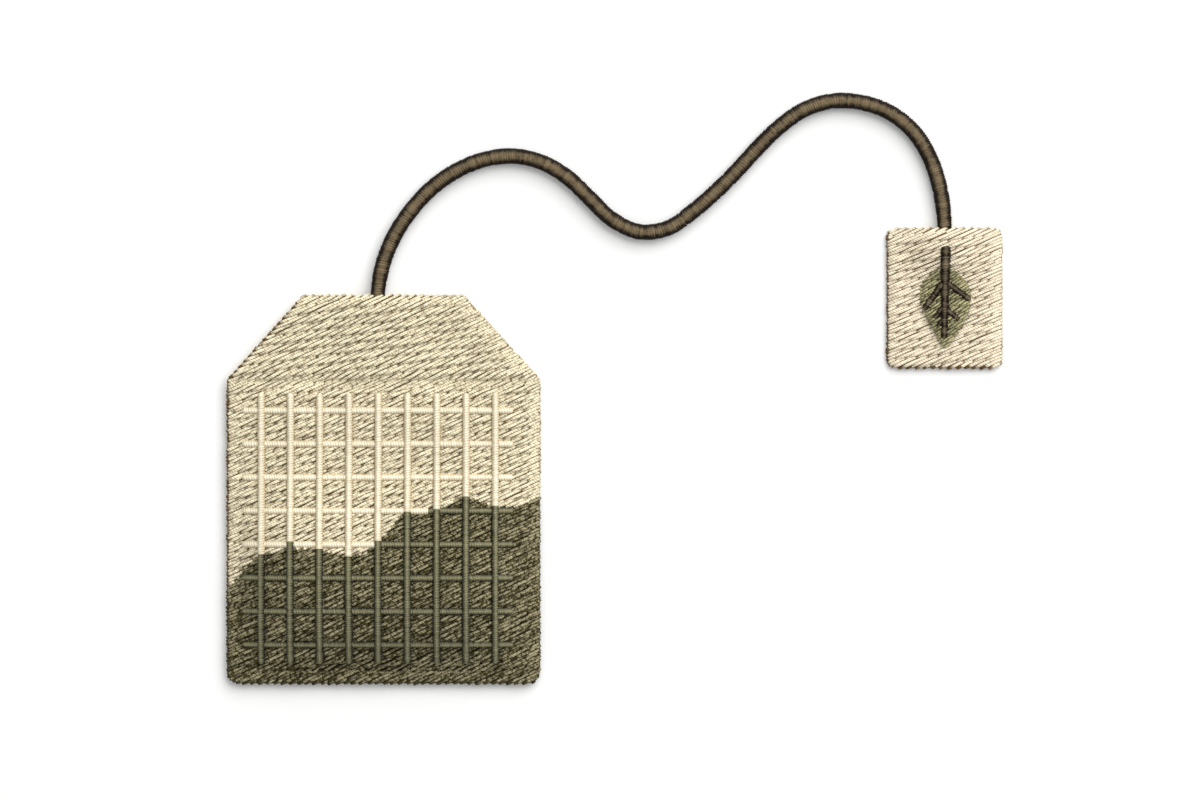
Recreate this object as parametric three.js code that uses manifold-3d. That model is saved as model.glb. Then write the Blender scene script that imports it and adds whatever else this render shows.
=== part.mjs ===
// A tagged tea bag lying on its back: a sewn cloth pouch whose two top corners are folded behind its head,
// the tea inside it, a cord that is held in the head, and a folded cloth tag with a leaf sewn on it.
// Millimetres. +Z is up, +Y runs from the pouch's foot to its head, and the origin is under the pouch's middle.
import * as THREE from "three";
import { mergeVertices } from "three/addons/utils/BufferGeometryUtils.js";
import Module from "manifold-3d";

const wasm = await Module();
wasm.setup();

// ---- Pouch ----
const POUCH_WIDTH = 50;
const POUCH_HEIGHT = 62;
const HEAD_HEIGHT = 13.5; // the sloping head above the shoulder crease
const HEAD_TOP_WIDTH = 25.6;
const FOOT_RADIUS = 1.3; // the two corners at the foot
const CLOTH = 0.5; // one layer of sewn cloth
const SEAM_WIDTH = 2; // the flat border where both layers are sewn together
const SEAM_LIFT = 0.7; // the border stands this far off the table
const SEAM_REACH = 7; // the back comes down to the table over this distance from the edge
const TEA_SWELL = 4.8; // the front's rise over the tea
const AIR_SWELL = 1.1; // the front's rise over the empty part
const SWELL_REACH = 14; // the front reaches its full rise over this distance from the border
const CREASE_REACH = 6; // and dies away over this distance below the shoulder crease
const CREASE_DEPTH = 0.2;
const CHAMBER_INSET = SEAM_WIDTH + 0.4; // from the pouch's edge to the space between its layers
const CHAMBER_LEAST = 0.2; // the least height of that space

// ---- Head ----
const FOLD_GAP = 0.3; // between the head and the corners folded behind it
const FOLD_LIFT = 2 * CLOTH + FOLD_GAP; // so high do the folded corners hold the head's sides
const FOLD_ROLL = 0.9; // width of the rolled edge where a corner turns under
const HEAD_SAG = 0.2; // height of the head's middle, between the folded corners
const HEAD_START = 2.5; // the head begins to lift this far below the crease
const HEAD_FULL = 0.5; // and has its full form this far above it

// ---- Tea ----
const TEA_SIDE = CHAMBER_INSET + 1.6; // from the pouch's edge to the tea
const TEA_SLOPE = 7; // the heap tapers over this distance below its upper edge

// ---- Cord ----
const CORD_DIAMETER = 2.4;
const CORD_SIDES = 8;
const CORD_STEP = 2; // in diameters
const CLEARANCE = 0.3; // around the cord's held ends, and between pieces that meet
const HEAD_HOLD = 8.5; // length of cord inside the head
const HEAD_PRESS = 1.4; // its thickness there, pressed between the two layers
const TAG_HOLD = 3.5; // length of cord inside the tag
const TAG_PRESS = 1.1; // its thickness there
const PRESS_REACH = 4.5; // the cord goes from round to pressed over this length outside the head or tag
const SLOT_HALF = CORD_DIAMETER / 2 + CLEARANCE;
const HEAD_CORE = HEAD_SAG + CLOTH + CLEARANCE + HEAD_PRESS / 2; // height of the held cord's middle
const TAG_CORE = CLOTH + CLEARANCE + TAG_PRESS / 2;
const FREE_CORE = CORD_DIAMETER / 2;
const RIDGE_HALF = 2.1; // half-width of the full-height ridge over the held cord
const RIDGE_REACH = 4; // the ridge falls away over this distance on each side

// ---- Tag ----
const TAG_WIDTH = 18.4;
const TAG_HEIGHT = 22.3;
const TAG_X = 89.7;
const TAG_Y = 30.6;
const TAG_RADIUS = 1.4;
const TAG_THICKNESS = 1.1; // two layers of cloth with the fold at the foot
const TAG_FOLD = 0.35; // how far the foot's fold is rounded in from each face
const TAG_RIDGE_END = 6.8; // the ridge over the held cord ends this far below the tag's top

// ---- Leaf: its places are from its tip, which is under the tag's middle line ----
const LEAF_TIP_Y = 22.4;
const BLADE_THICKNESS = 0.4;
const STEM_THICKNESS = 0.5;
const STEM_TOP = 16.5;
const STEM_FOOT = 1.7;
const STEM_TOP_WIDTH = 1.4;
const STEM_FOOT_WIDTH = 0.9;

// Each side vein: where it leaves the stem, where it ends, and its width at the two.
const VEINS = [
  [[0, 11], [3.9, 8.2], 0.9, 0.4],
  [[0, 9.9], [-3.3, 6.4], 0.9, 0.4],
  [[0, 6.6], [2.1, 4.8], 0.8, 0.4],
  [[0, 6.4], [-1.9, 4.3], 0.8, 0.4],
];

const FOOT_Y = -POUCH_HEIGHT / 2;
const HEAD_Y = POUCH_HEIGHT / 2;
const SHOULDER_Y = HEAD_Y - HEAD_HEIGHT;
const TAG_TOP = TAG_Y + TAG_HEIGHT / 2;
const TAG_FOOT = TAG_Y - TAG_HEIGHT / 2;
const BLADE_Z = TAG_THICKNESS + CLEARANCE;
const STEM_Z = BLADE_Z + BLADE_THICKNESS + CLEARANCE;

// Where the tea stops, from the left border to the right one: places along X, and the tea's height along Y.
const TEA_LINE = [
  [-25, -16],
  [-20, -10.6],
  [-15, -9.5],
  [-10.5, -9.5],
  [-6, -10.8],
  [-3, -10.4],
  [0.7, -7],
  [3.1, -3.9],
  [8.5, -3.4],
  [13, -1.2],
  [17.5, -2.8],
  [21, -2.8],
  [25, -1.4],
];

// The cord's middle line, from inside the pouch's head to inside the tag.
const CORD_ROUTE = [
  [-0.9, HEAD_Y - HEAD_HOLD, HEAD_CORE],
  [-0.9, 27, HEAD_CORE],
  [-0.9, 31.4, HEAD_CORE],
  [-0.1, 36, FREE_CORE],
  [1.7, 40.5, FREE_CORE],
  [4.3, 44.5, FREE_CORE],
  [7.5, 48, FREE_CORE],
  [11.4, 50.8, FREE_CORE],
  [15.9, 52.7, FREE_CORE],
  [20.7, 53.3, FREE_CORE],
  [25.3, 52.3, FREE_CORE],
  [29.4, 49.9, FREE_CORE],
  [33, 46.5, FREE_CORE],
  [36.5, 43.2, FREE_CORE],
  [40.9, 41.2, FREE_CORE],
  [45.5, 41.8, FREE_CORE],
  [49.5, 44.5, FREE_CORE],
  [53.2, 47.7, FREE_CORE],
  [56.6, 51.1, FREE_CORE],
  [59.8, 54.6, FREE_CORE],
  [63.2, 57.9, FREE_CORE],
  [67.2, 60.7, FREE_CORE],
  [71.8, 62.1, FREE_CORE],
  [76.7, 61.8, FREE_CORE],
  [81.2, 60.1, FREE_CORE],
  [84.9, 57, FREE_CORE],
  [87.4, 52.9, FREE_CORE],
  [88.9, 48.3, FREE_CORE],
  [89.6, 43.7, TAG_CORE],
  [89.7, 41, TAG_CORE],
  [89.7, TAG_TOP - TAG_HOLD, TAG_CORE],
];

const { lerp, smoothstep, clamp } = THREE.MathUtils;

// ---- Solids ----

// Only the positions are kept, so that shared corners merge and the surface closes.
function closed(geometry) {
  geometry.deleteAttribute("normal");
  geometry.deleteAttribute("uv");
  return mergeVertices(geometry, 1e-4);
}

function solid(geometry) {
  const merged = closed(geometry);
  const mesh = new wasm.Mesh({
    numProp: 3,
    vertProperties: merged.attributes.position.array,
    triVerts: new Uint32Array(merged.index.array),
  });
  return new wasm.Manifold(mesh);
}

function surface(body) {
  const mesh = body.getMesh();
  const geometry = new THREE.BufferGeometry();
  geometry.setAttribute("position", new THREE.BufferAttribute(mesh.vertProperties, 3));
  geometry.setIndex(new THREE.BufferAttribute(mesh.triVerts, 1));
  return geometry;
}

function piece(name, geometry, color, roughness) {
  geometry.computeVertexNormals();
  const material = new THREE.MeshStandardMaterial({ color, roughness, metalness: 0 });
  const mesh = new THREE.Mesh(geometry, material);
  mesh.name = name;
  return mesh;
}

// Places from one end to the other, closer together near the ends as crowding goes from 0 to 1.
function spread(from, to, count, crowding = 0) {
  return Array.from({ length: count + 1 }, (_, i) => {
    const share = i / count;
    const eased = (1 - Math.cos(Math.PI * share)) / 2;
    return lerp(from, to, lerp(share, eased, crowding));
  });
}

// A closed slab over a net. A column is a share of the half-width at its row, from -1 to 1, and a row is a
// place along Y. lower and upper give the heights of its two faces.
function slab({ columns, rows, middle = 0, halfWidth, lower, upper }) {
  const lastColumn = columns.length - 1;
  const lastRow = rows.length - 1;
  const block = new THREE.BoxGeometry(1, 1, 1, lastColumn, lastRow, 1);
  const position = block.attributes.position;
  for (let i = 0; i < position.count; i++) {
    const share = columns[Math.round((position.getX(i) + 0.5) * lastColumn)];
    const y = rows[Math.round((position.getY(i) + 0.5) * lastRow)];
    const x = middle + share * halfWidth(y);
    const face = position.getZ(i) > 0 ? upper : lower;
    position.setXYZ(i, x, y, face(x, y));
  }
  return solid(block);
}

function prism(points, from, depth) {
  const outline = new THREE.Shape(points.map(([x, y]) => new THREE.Vector2(x, y)));
  const geometry = new THREE.ExtrudeGeometry(outline, { depth, bevelEnabled: false });
  return solid(geometry.translate(0, 0, from));
}

// How much a straight side draws in at a rounded corner of the given radius, this far from its end.
function cornerInset(radius, distance) {
  const short = clamp(radius - distance, 0, radius);
  return radius - Math.sqrt(radius ** 2 - short ** 2);
}

// Rows round a corner of the given radius, from its end inwards.
function cornerRows(radius) {
  return [0, 0.13, 0.5].map((share) => share * radius);
}

// ---- Pouch ----

function pouchHalfWidth(y) {
  const half = POUCH_WIDTH / 2;
  if (y > SHOULDER_Y) {
    return lerp(half, HEAD_TOP_WIDTH / 2, (y - SHOULDER_Y) / HEAD_HEIGHT);
  }
  return half - cornerInset(FOOT_RADIUS, y - FOOT_Y);
}

function rise(share) {
  return 1 - (1 - clamp(share, 0, 1)) ** 2.4;
}

function swell(x, y) {
  const fill = lerp(TEA_SWELL, AIR_SWELL, smoothstep(y, -14, 6));
  const side = rise((pouchHalfWidth(y) - SEAM_WIDTH - Math.abs(x)) / SWELL_REACH);
  const foot = rise((y - FOOT_Y - SEAM_WIDTH) / SWELL_REACH);
  const crease = rise((SHOULDER_Y - y) / CREASE_REACH);
  return fill * side * foot * crease;
}

function headShare(y) {
  return smoothstep(y, SHOULDER_Y - HEAD_START, SHOULDER_Y + HEAD_FULL);
}

function pouchBack(x, y) {
  const inset = Math.min(pouchHalfWidth(y) - Math.abs(x), y - FOOT_Y);
  const body = SEAM_LIFT * (1 - smoothstep(inset, SEAM_WIDTH, SEAM_REACH));
  const head = lerp(HEAD_SAG, FOLD_LIFT, smoothstep(Math.abs(x), 5, 10.5));
  return lerp(body, head, headShare(y));
}

function pouchFront(x, y) {
  const body = SEAM_LIFT + 2 * CLOTH + swell(x, y);
  const ridge = 1 - smoothstep(Math.abs(x), RIDGE_HALF, RIDGE_HALF + RIDGE_REACH);
  const overCord = HEAD_CORE + HEAD_PRESS / 2 + CLEARANCE + CLOTH;
  const head = lerp(FOLD_LIFT + 2 * CLOTH, overCord, ridge);
  const crease = CREASE_DEPTH * (1 - smoothstep(Math.abs(y - SHOULDER_Y), 0, 1));
  return lerp(body, head, headShare(y)) - crease;
}

function pouchOutside() {
  const crease = [-HEAD_START, -1.6, -1, -0.5, 0, HEAD_FULL, 1].map((step) => SHOULDER_Y + step);
  const rows = [
    ...cornerRows(FOOT_RADIUS).map((step) => FOOT_Y + step),
    ...spread(FOOT_Y + FOOT_RADIUS, SHOULDER_Y - 3.5, 19, 0.45),
    ...crease,
    ...spread(SHOULDER_Y + 3, HEAD_Y, 3),
  ];
  const columns = [...spread(-1, -0.3, 9, 0.5), ...spread(-0.15, 0.15, 4), ...spread(0.3, 1, 9, 0.5)];
  return slab({ columns, rows, halfWidth: pouchHalfWidth, lower: pouchBack, upper: pouchFront });
}

// The space between the two layers, up to where the head begins.
function chamber() {
  return slab({
    columns: spread(-1, 1, 16, 0.5),
    rows: spread(FOOT_Y + CHAMBER_INSET, SHOULDER_Y - HEAD_START, 15, 0.4),
    halfWidth: () => POUCH_WIDTH / 2 - CHAMBER_INSET,
    lower: (x, y) => pouchBack(x, y) + CLOTH,
    upper: (x, y) => Math.max(pouchFront(x, y) - CLOTH, pouchBack(x, y) + CLOTH + CHAMBER_LEAST),
  });
}

// The way from the chamber to the mouth in the head's top edge, where the cord is held.
function cordSlot() {
  const inside = (y) => Math.min(y, HEAD_Y);
  return slab({
    columns: [-1, 1],
    rows: [...spread(SHOULDER_Y - HEAD_START - 1, SHOULDER_Y + 1, 9), HEAD_Y + 1],
    middle: CORD_ROUTE[0][0],
    halfWidth: () => SLOT_HALF,
    lower: (x, y) => pouchBack(0, inside(y)) + CLOTH,
    upper: (x, y) => pouchFront(0, inside(y)) - CLOTH,
  });
}

// A top corner folded behind the head: the corner's triangle mirrored in its fold, and the rolled edge.
function foldedCorner(side) {
  const top = new THREE.Vector3(side * HEAD_TOP_WIDTH / 2, HEAD_Y, 0);
  const shoulder = new THREE.Vector3(side * POUCH_WIDTH / 2, SHOULDER_Y, 0);
  const corner = new THREE.Vector3(shoulder.x, top.y, 0);
  const onFold = new THREE.Line3(top, shoulder).closestPointToPoint(corner, false, new THREE.Vector3());
  const tip = onFold.clone().multiplyScalar(2).sub(corner);
  const inward = tip.clone().sub(onFold).setLength(FOLD_ROLL);
  const rollEnd = shoulder.clone().lerp(top, 0.08);
  const flat = (points) => points.map((point) => [point.x, point.y]);
  const flap = prism(flat([top, shoulder, tip]), 0, 2 * CLOTH);
  const strip = [top, rollEnd, rollEnd.clone().add(inward), top.clone().add(inward)];
  return flap.add(prism(flat(strip), 0, FOLD_LIFT + CLOTH));
}

function filterBag() {
  let cloth = pouchOutside();
  for (const side of [-1, 1]) {
    cloth = cloth.add(foldedCorner(side));
  }
  return cloth.subtract(chamber()).subtract(cordSlot());
}

// ---- Tea ----

const teaLine = new THREE.CubicInterpolant(
  TEA_LINE.map(([x]) => x),
  TEA_LINE.map(([, y]) => y),
  1,
);

function teaTop(x) {
  return teaLine.evaluate(x)[0] - CLEARANCE;
}

function teaLeaves() {
  const half = POUCH_WIDTH / 2 - TEA_SIDE;
  const foot = FOOT_Y + TEA_SIDE;
  const lower = (x, y) => pouchBack(x, y) + CLOTH + CLEARANCE;
  const upper = (x, y) => {
    const room = pouchFront(x, y) - CLOTH - CLEARANCE - lower(x, y);
    const taper = Math.sqrt(clamp((teaTop(x) - y) / TEA_SLOPE, 0.12, 1));
    return lower(x, y) + room * taper;
  };
  const heap = slab({
    columns: spread(-1, 1, 16, 0.4),
    rows: spread(foot, 1, 11, 0.2),
    halfWidth: () => half,
    lower,
    upper,
  });
  const edge = spread(half + 1, -half - 1, 24).map((x) => [x, teaTop(x)]);
  const below = prism([[-half - 1, foot - 1], [half + 1, foot - 1], ...edge], -1, 12);
  return heap.intersect(below);
}

// ---- Cord ----

function cord() {
  const route = new THREE.CatmullRomCurve3(CORD_ROUTE.map((point) => new THREE.Vector3(...point)));
  const section = new THREE.Shape();
  section.absarc(0, 0, CORD_DIAMETER / 2, 0, 2 * Math.PI);
  const geometry = new THREE.ExtrudeGeometry(section, {
    steps: Math.round(route.getLength() / (CORD_STEP * CORD_DIAMETER)),
    curveSegments: CORD_SIDES / 2, // a full arc takes twice as many
    extrudePath: route,
    bevelEnabled: false,
  });
  const position = geometry.attributes.position;
  for (let i = 0; i < position.count; i++) {
    const height = pressedHeight(position.getX(i), position.getY(i), position.getZ(i));
    position.setZ(i, Math.max(height, 0));
  }
  return solid(geometry);
}

// The cord's ends are pressed flat about their middle where the head and the tag hold them.
function pressedHeight(x, y, z) {
  const atTag = x > TAG_X / 2;
  const edge = atTag ? TAG_TOP : HEAD_Y;
  const held = 1 - smoothstep(y, edge + 0.4, edge + PRESS_REACH);
  const core = lerp(FREE_CORE, atTag ? TAG_CORE : HEAD_CORE, held);
  const press = (atTag ? TAG_PRESS : HEAD_PRESS) / CORD_DIAMETER;
  const nearEnd = atTag ? x > TAG_X - 5 : x < 3;
  return nearEnd ? core + (z - core) * lerp(1, press, held) : z;
}

// ---- Tag ----

function tagHalfWidth(y) {
  return TAG_WIDTH / 2 - cornerInset(TAG_RADIUS, Math.min(y - TAG_FOOT, TAG_TOP - y));
}

function tagBack(x, y) {
  return TAG_FOLD * (1 - smoothstep(y - TAG_FOOT, 0, TAG_FOLD));
}

function tagFront(x, y) {
  const across = 1 - smoothstep(Math.abs(x - TAG_X), RIDGE_HALF, RIDGE_HALF + RIDGE_REACH);
  const along = 1 - smoothstep(TAG_TOP - y, TAG_HOLD + 0.5, TAG_RIDGE_END);
  const overCord = TAG_CORE + TAG_PRESS / 2 + CLEARANCE + CLOTH;
  return lerp(TAG_THICKNESS, overCord, across * along) - tagBack(x, y);
}

function tag() {
  const rows = [
    ...cornerRows(TAG_RADIUS).map((step) => TAG_FOOT + step),
    TAG_FOOT + TAG_FOLD,
    ...spread(TAG_FOOT + TAG_RADIUS, TAG_TOP - TAG_RIDGE_END, 2),
    TAG_TOP - 5.5,
    TAG_TOP - TAG_HOLD - 0.5,
    ...cornerRows(TAG_RADIUS).map((step) => TAG_TOP - step),
    TAG_TOP - TAG_RADIUS,
  ];
  const leaves = slab({
    columns: [-1, -0.8, -0.66, -0.45, -0.23, 0, 0.23, 0.45, 0.66, 0.8, 1],
    rows: rows.sort((a, b) => a - b),
    middle: TAG_X,
    halfWidth: tagHalfWidth,
    lower: tagBack,
    upper: tagFront,
  });
  const pocket = slab({
    columns: [-1, 1],
    rows: [TAG_TOP - TAG_HOLD - CLEARANCE, TAG_TOP + 1],
    middle: TAG_X,
    halfWidth: () => SLOT_HALF,
    lower: () => CLOTH,
    upper: () => TAG_CORE + TAG_PRESS / 2 + CLEARANCE,
  });
  return leaves.subtract(pocket);
}

// ---- Leaf ----

function leafBlade() {
  const outline = new THREE.Shape();
  outline.moveTo(0, 0);
  outline.bezierCurveTo(2.1, 2, 4, 5.2, 4.1, 8.4);
  outline.bezierCurveTo(4.1, 9.9, 3.2, 11.4, 1.7, 12.1);
  outline.quadraticCurveTo(-0.3, 12.7, -2.3, 12.1);
  outline.bezierCurveTo(-3.5, 11.3, -4, 10.2, -4, 8.7);
  outline.bezierCurveTo(-3.9, 5.4, -1.6, 2.4, 0, 0);
  const options = { depth: BLADE_THICKNESS, bevelEnabled: false, curveSegments: 7 };
  const geometry = new THREE.ExtrudeGeometry(outline, options);
  return solid(geometry.translate(TAG_X, LEAF_TIP_Y, BLADE_Z));
}

function vein([from, to, wide, narrow]) {
  const start = new THREE.Vector2(...from);
  const end = new THREE.Vector2(...to);
  const across = end.clone().sub(start).rotateAround(new THREE.Vector2(), Math.PI / 2).normalize();
  const corner = (point, reach) => point.clone().addScaledVector(across, reach / 2).toArray();
  const corners = [corner(start, -wide), corner(end, -narrow), corner(end, narrow), corner(start, wide)];
  const placed = corners.map(([x, y]) => [x + TAG_X, y + LEAF_TIP_Y]);
  return prism(placed, STEM_Z, STEM_THICKNESS * 0.8);
}

function leafStem() {
  const top = LEAF_TIP_Y + STEM_TOP;
  const foot = LEAF_TIP_Y + STEM_FOOT;
  const under = (x, y) => Math.max(STEM_Z, tagFront(TAG_X, y) + CLEARANCE);
  let stem = slab({
    columns: [-1, 0, 1],
    rows: [...spread(foot, TAG_TOP - TAG_RIDGE_END, 3), ...spread(TAG_TOP - 5.9, top, 4)],
    middle: TAG_X,
    halfWidth: (y) => lerp(STEM_FOOT_WIDTH, STEM_TOP_WIDTH, (y - foot) / (top - foot)) / 2,
    lower: under,
    upper: (x, y) => under(x, y) + STEM_THICKNESS,
  });
  for (const each of VEINS) {
    stem = stem.add(vein(each));
  }
  return stem;
}

// ---- Assembly ----

const pouch = new THREE.Group();
pouch.add(piece("filter_bag", surface(filterBag()), "#ccbfa1", 0.9));
pouch.add(piece("tea_leaves", surface(teaLeaves()), "#4a4530", 0.95));

const label = new THREE.Group();
label.add(piece("tag", surface(tag()), "#c8bd9f", 0.9));
label.add(piece("leaf_blade", surface(leafBlade()), "#6c7648", 0.85));
label.add(piece("leaf_stem", surface(leafStem()), "#4a3d30", 0.8));

const teaBag = new THREE.Group();
teaBag.add(pouch);
teaBag.add(piece("string", surface(cord()), "#574d3c", 0.8));
teaBag.add(label);

export default teaBag;
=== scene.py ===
"""A sewn cloth tea bag with its string and tag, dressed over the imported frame.

The cloth is covered by rows of real threads, wrapped cords stand on it as a grid, and the string is a wound
core. The pouch is stained where it lies against wet tea. Every length here is in metres.
"""

import logging
import math
from abc import ABC, abstractmethod
from collections.abc import Callable, Iterator, Sequence
from dataclasses import dataclass, field
from enum import Enum
from functools import partial
from itertools import pairwise
from typing import Self

import bpy
import numpy as np
from bpy.types import Material, Node, NodeSocket, NodeTree, Object
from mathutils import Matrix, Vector

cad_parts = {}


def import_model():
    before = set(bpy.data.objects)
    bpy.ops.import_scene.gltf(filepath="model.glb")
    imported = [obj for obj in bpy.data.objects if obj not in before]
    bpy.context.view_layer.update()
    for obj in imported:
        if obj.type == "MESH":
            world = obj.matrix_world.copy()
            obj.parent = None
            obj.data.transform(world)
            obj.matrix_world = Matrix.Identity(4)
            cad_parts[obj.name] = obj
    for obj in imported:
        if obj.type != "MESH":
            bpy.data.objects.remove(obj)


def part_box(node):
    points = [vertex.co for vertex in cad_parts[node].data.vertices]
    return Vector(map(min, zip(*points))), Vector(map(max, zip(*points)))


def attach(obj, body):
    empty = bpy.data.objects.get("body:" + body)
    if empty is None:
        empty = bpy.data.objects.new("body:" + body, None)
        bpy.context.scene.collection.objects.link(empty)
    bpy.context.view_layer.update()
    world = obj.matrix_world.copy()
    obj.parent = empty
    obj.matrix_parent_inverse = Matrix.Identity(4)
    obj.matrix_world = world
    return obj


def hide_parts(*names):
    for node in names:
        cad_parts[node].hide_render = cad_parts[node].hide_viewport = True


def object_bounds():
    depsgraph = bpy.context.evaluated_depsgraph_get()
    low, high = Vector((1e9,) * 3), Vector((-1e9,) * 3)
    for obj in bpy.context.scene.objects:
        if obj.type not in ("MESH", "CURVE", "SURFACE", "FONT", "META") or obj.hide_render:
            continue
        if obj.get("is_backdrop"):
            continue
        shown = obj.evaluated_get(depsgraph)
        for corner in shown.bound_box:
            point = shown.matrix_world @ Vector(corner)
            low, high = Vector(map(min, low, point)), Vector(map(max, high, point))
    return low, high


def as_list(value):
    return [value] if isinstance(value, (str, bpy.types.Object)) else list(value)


LOG = logging.getLogger("tea_bag")
MM = 0.001
ONE_WAVE = math.pi / 10  # at this scale a wave texture repeats once a unit, or at twice it if diagonal
Array = np.ndarray
Field = Callable[[Array, Array], Array]  # a value at each place across and along
Box = tuple[float, float, float, float]  # left, foot, right and head
Solid = tuple[Array, Array]  # points, and faces of four corners
AddNode = Callable[..., Node]


# ---- Small tools ----


def linear(colour: str) -> tuple[float, float, float, float]:
    """Turns an sRGB colour into the linear one that shaders use.

    Args:
        colour: A hex colour such as "#ccbfa1".

    Returns:
        Its linear red, green, blue and an alpha of 1.
    """
    shares = [int(colour[i : i + 2], 16) / 255 for i in (1, 3, 5)]
    red, green, blue = (s / 12.92 if s <= 0.04045 else ((s + 0.055) / 1.055) ** 2.4 for s in shares)
    return red, green, blue, 1.0


def add_node(
    tree: NodeTree,
    kind: str,
    settings: dict[str, object] | None = None,
    inputs: dict[str | int, object] | None = None,
) -> Node:
    """Adds one shader node.

    Args:
        tree: The node tree it goes in.
        kind: The node's type, such as "ShaderNodeBump".
        settings: The node's own properties.
        inputs: A value for each named input, or the output socket to link to it.

    Returns:
        The new node.
    """
    node = tree.nodes.new(kind)
    for key, value in (settings or {}).items():
        setattr(node, key, value)
    for key, value in (inputs or {}).items():
        if isinstance(value, NodeSocket):
            tree.links.new(value, node.inputs[key])
        else:
            node.inputs[key].default_value = value
    return node


def ease(value: Array, low: float, high: float) -> Array:
    """Returns shares that go smoothly from 0 where the value is low to 1 where it is high."""
    share = np.clip((value - low) / (high - low), 0, 1)
    return share * share * (3 - 2 * share)


def mix(first: Array | float, second: Array | float, share: Array | float) -> Array:
    """Returns first at share 0 and second at share 1."""
    return first + (second - first) * share


def unit(vectors: Array) -> Array:
    """Returns the vectors at length 1."""
    return vectors / np.maximum(np.linalg.norm(vectors, axis=-1, keepdims=True), 1e-12)


def corner_inset(radius: float, distance: Array) -> Array:
    """Returns how far a side draws in at a rounded corner, at each distance from the corner's end."""
    short = np.clip(radius - distance, 0, radius)
    return radius - np.sqrt(radius**2 - short**2)


def rounded(inset: Array, rim: float) -> Array:
    """Returns how much of its thickness a cloth has at each distance inside its rounded edge."""
    share = 1 - np.clip(inset / rim, 0, 1)
    return 0.1 + 0.9 * np.sqrt(1 - share**2)


def crowded(count: int) -> Array:
    """Returns shares from 0 to 1 that stand closer together near both ends."""
    even = np.linspace(0, 1, count)
    return 0.35 * even + 0.65 * (0.5 - 0.5 * np.cos(math.pi * even))


def nowhere(x: Array, y: Array) -> Array:
    """Returns False, or 0, at each place."""
    return np.zeros(np.broadcast(x, y).shape, bool)


def everywhere(x: Array, y: Array) -> Array:
    """Returns 1 at each place."""
    return np.ones(np.broadcast(x, y).shape)


def mesh_object(
    name: str,
    points: Array,
    faces: Sequence[Array],
    values: dict[str, Array],
    material: Material,
) -> Object:
    """Makes a smooth-shaded mesh object.

    Args:
        name: The object's name.
        points: Its vertices, three numbers each.
        faces: Arrays of vertex numbers, each array of faces with one number of corners.
        values: Values for each vertex, one number or three numbers, by attribute name.
        material: Its material.

    Returns:
        The new object, linked to the scene.
    """
    mesh = bpy.data.meshes.new(name)
    mesh.vertices.add(len(points))
    mesh.vertices.foreach_set("co", points.astype(np.float32).ravel())
    corners = np.concatenate([f.ravel() for f in faces]).astype(np.int32)
    sizes = np.concatenate([np.full(len(f), f.shape[1]) for f in faces])
    starts = np.concatenate([[0], np.cumsum(sizes)[:-1]]).astype(np.int32)
    mesh.loops.add(len(corners))
    mesh.loops.foreach_set("vertex_index", corners)
    mesh.polygons.add(len(starts))
    mesh.polygons.foreach_set("loop_start", starts)
    mesh.polygons.foreach_set("use_smooth", np.ones(len(starts), bool))
    for key, value in values.items():
        kind, slot = ("FLOAT", "value") if value.ndim == 1 else ("FLOAT_VECTOR", "vector")
        attribute = mesh.attributes.new(key, kind, "POINT")
        attribute.data.foreach_set(slot, value.astype(np.float32).ravel())
    mesh.update(calc_edges=True)
    mesh.validate()
    mesh.materials.append(material)
    made = bpy.data.objects.new(name, mesh)
    bpy.context.scene.collection.objects.link(made)
    return made


def plate(x: Array, y: Array, lower: Field, upper: Field) -> Solid:
    """Makes a closed plate over a net of places.

    Args:
        x, y: The net's places, in rows.
        lower, upper: The heights of the plate's underside and of its upper side.

    Returns:
        Its points, and its faces of four corners.
    """
    if (x[0, 1] - x[0, 0]) * (y[1, 0] - y[0, 0]) < (y[0, 1] - y[0, 0]) * (x[1, 0] - x[0, 0]):
        x, y = x[:, ::-1], y[:, ::-1]
    faces = [np.stack([x, y, height(x, y)], -1).reshape(-1, 3) for height in (lower, upper)]
    below = np.arange(y.size).reshape(y.shape)
    above = below + y.size
    tops = [above[:-1, :-1], above[:-1, 1:], above[1:, 1:], above[1:, :-1]]
    bottoms = [below[:-1, :-1], below[1:, :-1], below[1:, 1:], below[:-1, 1:]]
    quads = [np.stack([q.ravel() for q in group], -1) for group in (tops, bottoms)]
    here = np.concatenate([below[0, :-1], below[:-1, -1], below[-1, :0:-1], below[:0:-1, 0]])
    ahead = np.roll(here, -1)
    quads.append(np.stack([here, ahead, ahead + y.size, here + y.size], -1))
    return np.concatenate(faces), np.concatenate(quads)


def joined(plates: Sequence[Solid]) -> Solid:
    """Joins plates into one set of points and faces.

    Args:
        plates: The points and faces of each.

    Returns:
        The points and faces of them all.
    """
    starts = np.cumsum([0, *(len(points) for points, _ in plates)])
    quads = [quad + start for (_, quad), start in zip(plates, starts, strict=False)]
    return np.concatenate([points for points, _ in plates]), np.concatenate(quads)


def stand_for(pieces: Sequence[Object], node: str) -> None:
    """Hides the CAD piece that some pieces stand for.

    Args:
        pieces: The pieces.
        node: The CAD piece.
    """
    for piece in pieces:
        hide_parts(node)


# ---- Finishes ----


@dataclass(frozen=True)
class Dye:
    """The two ends of a thread's colour range: its palest strand and its deepest one."""

    pale: str
    deep: str


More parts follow.
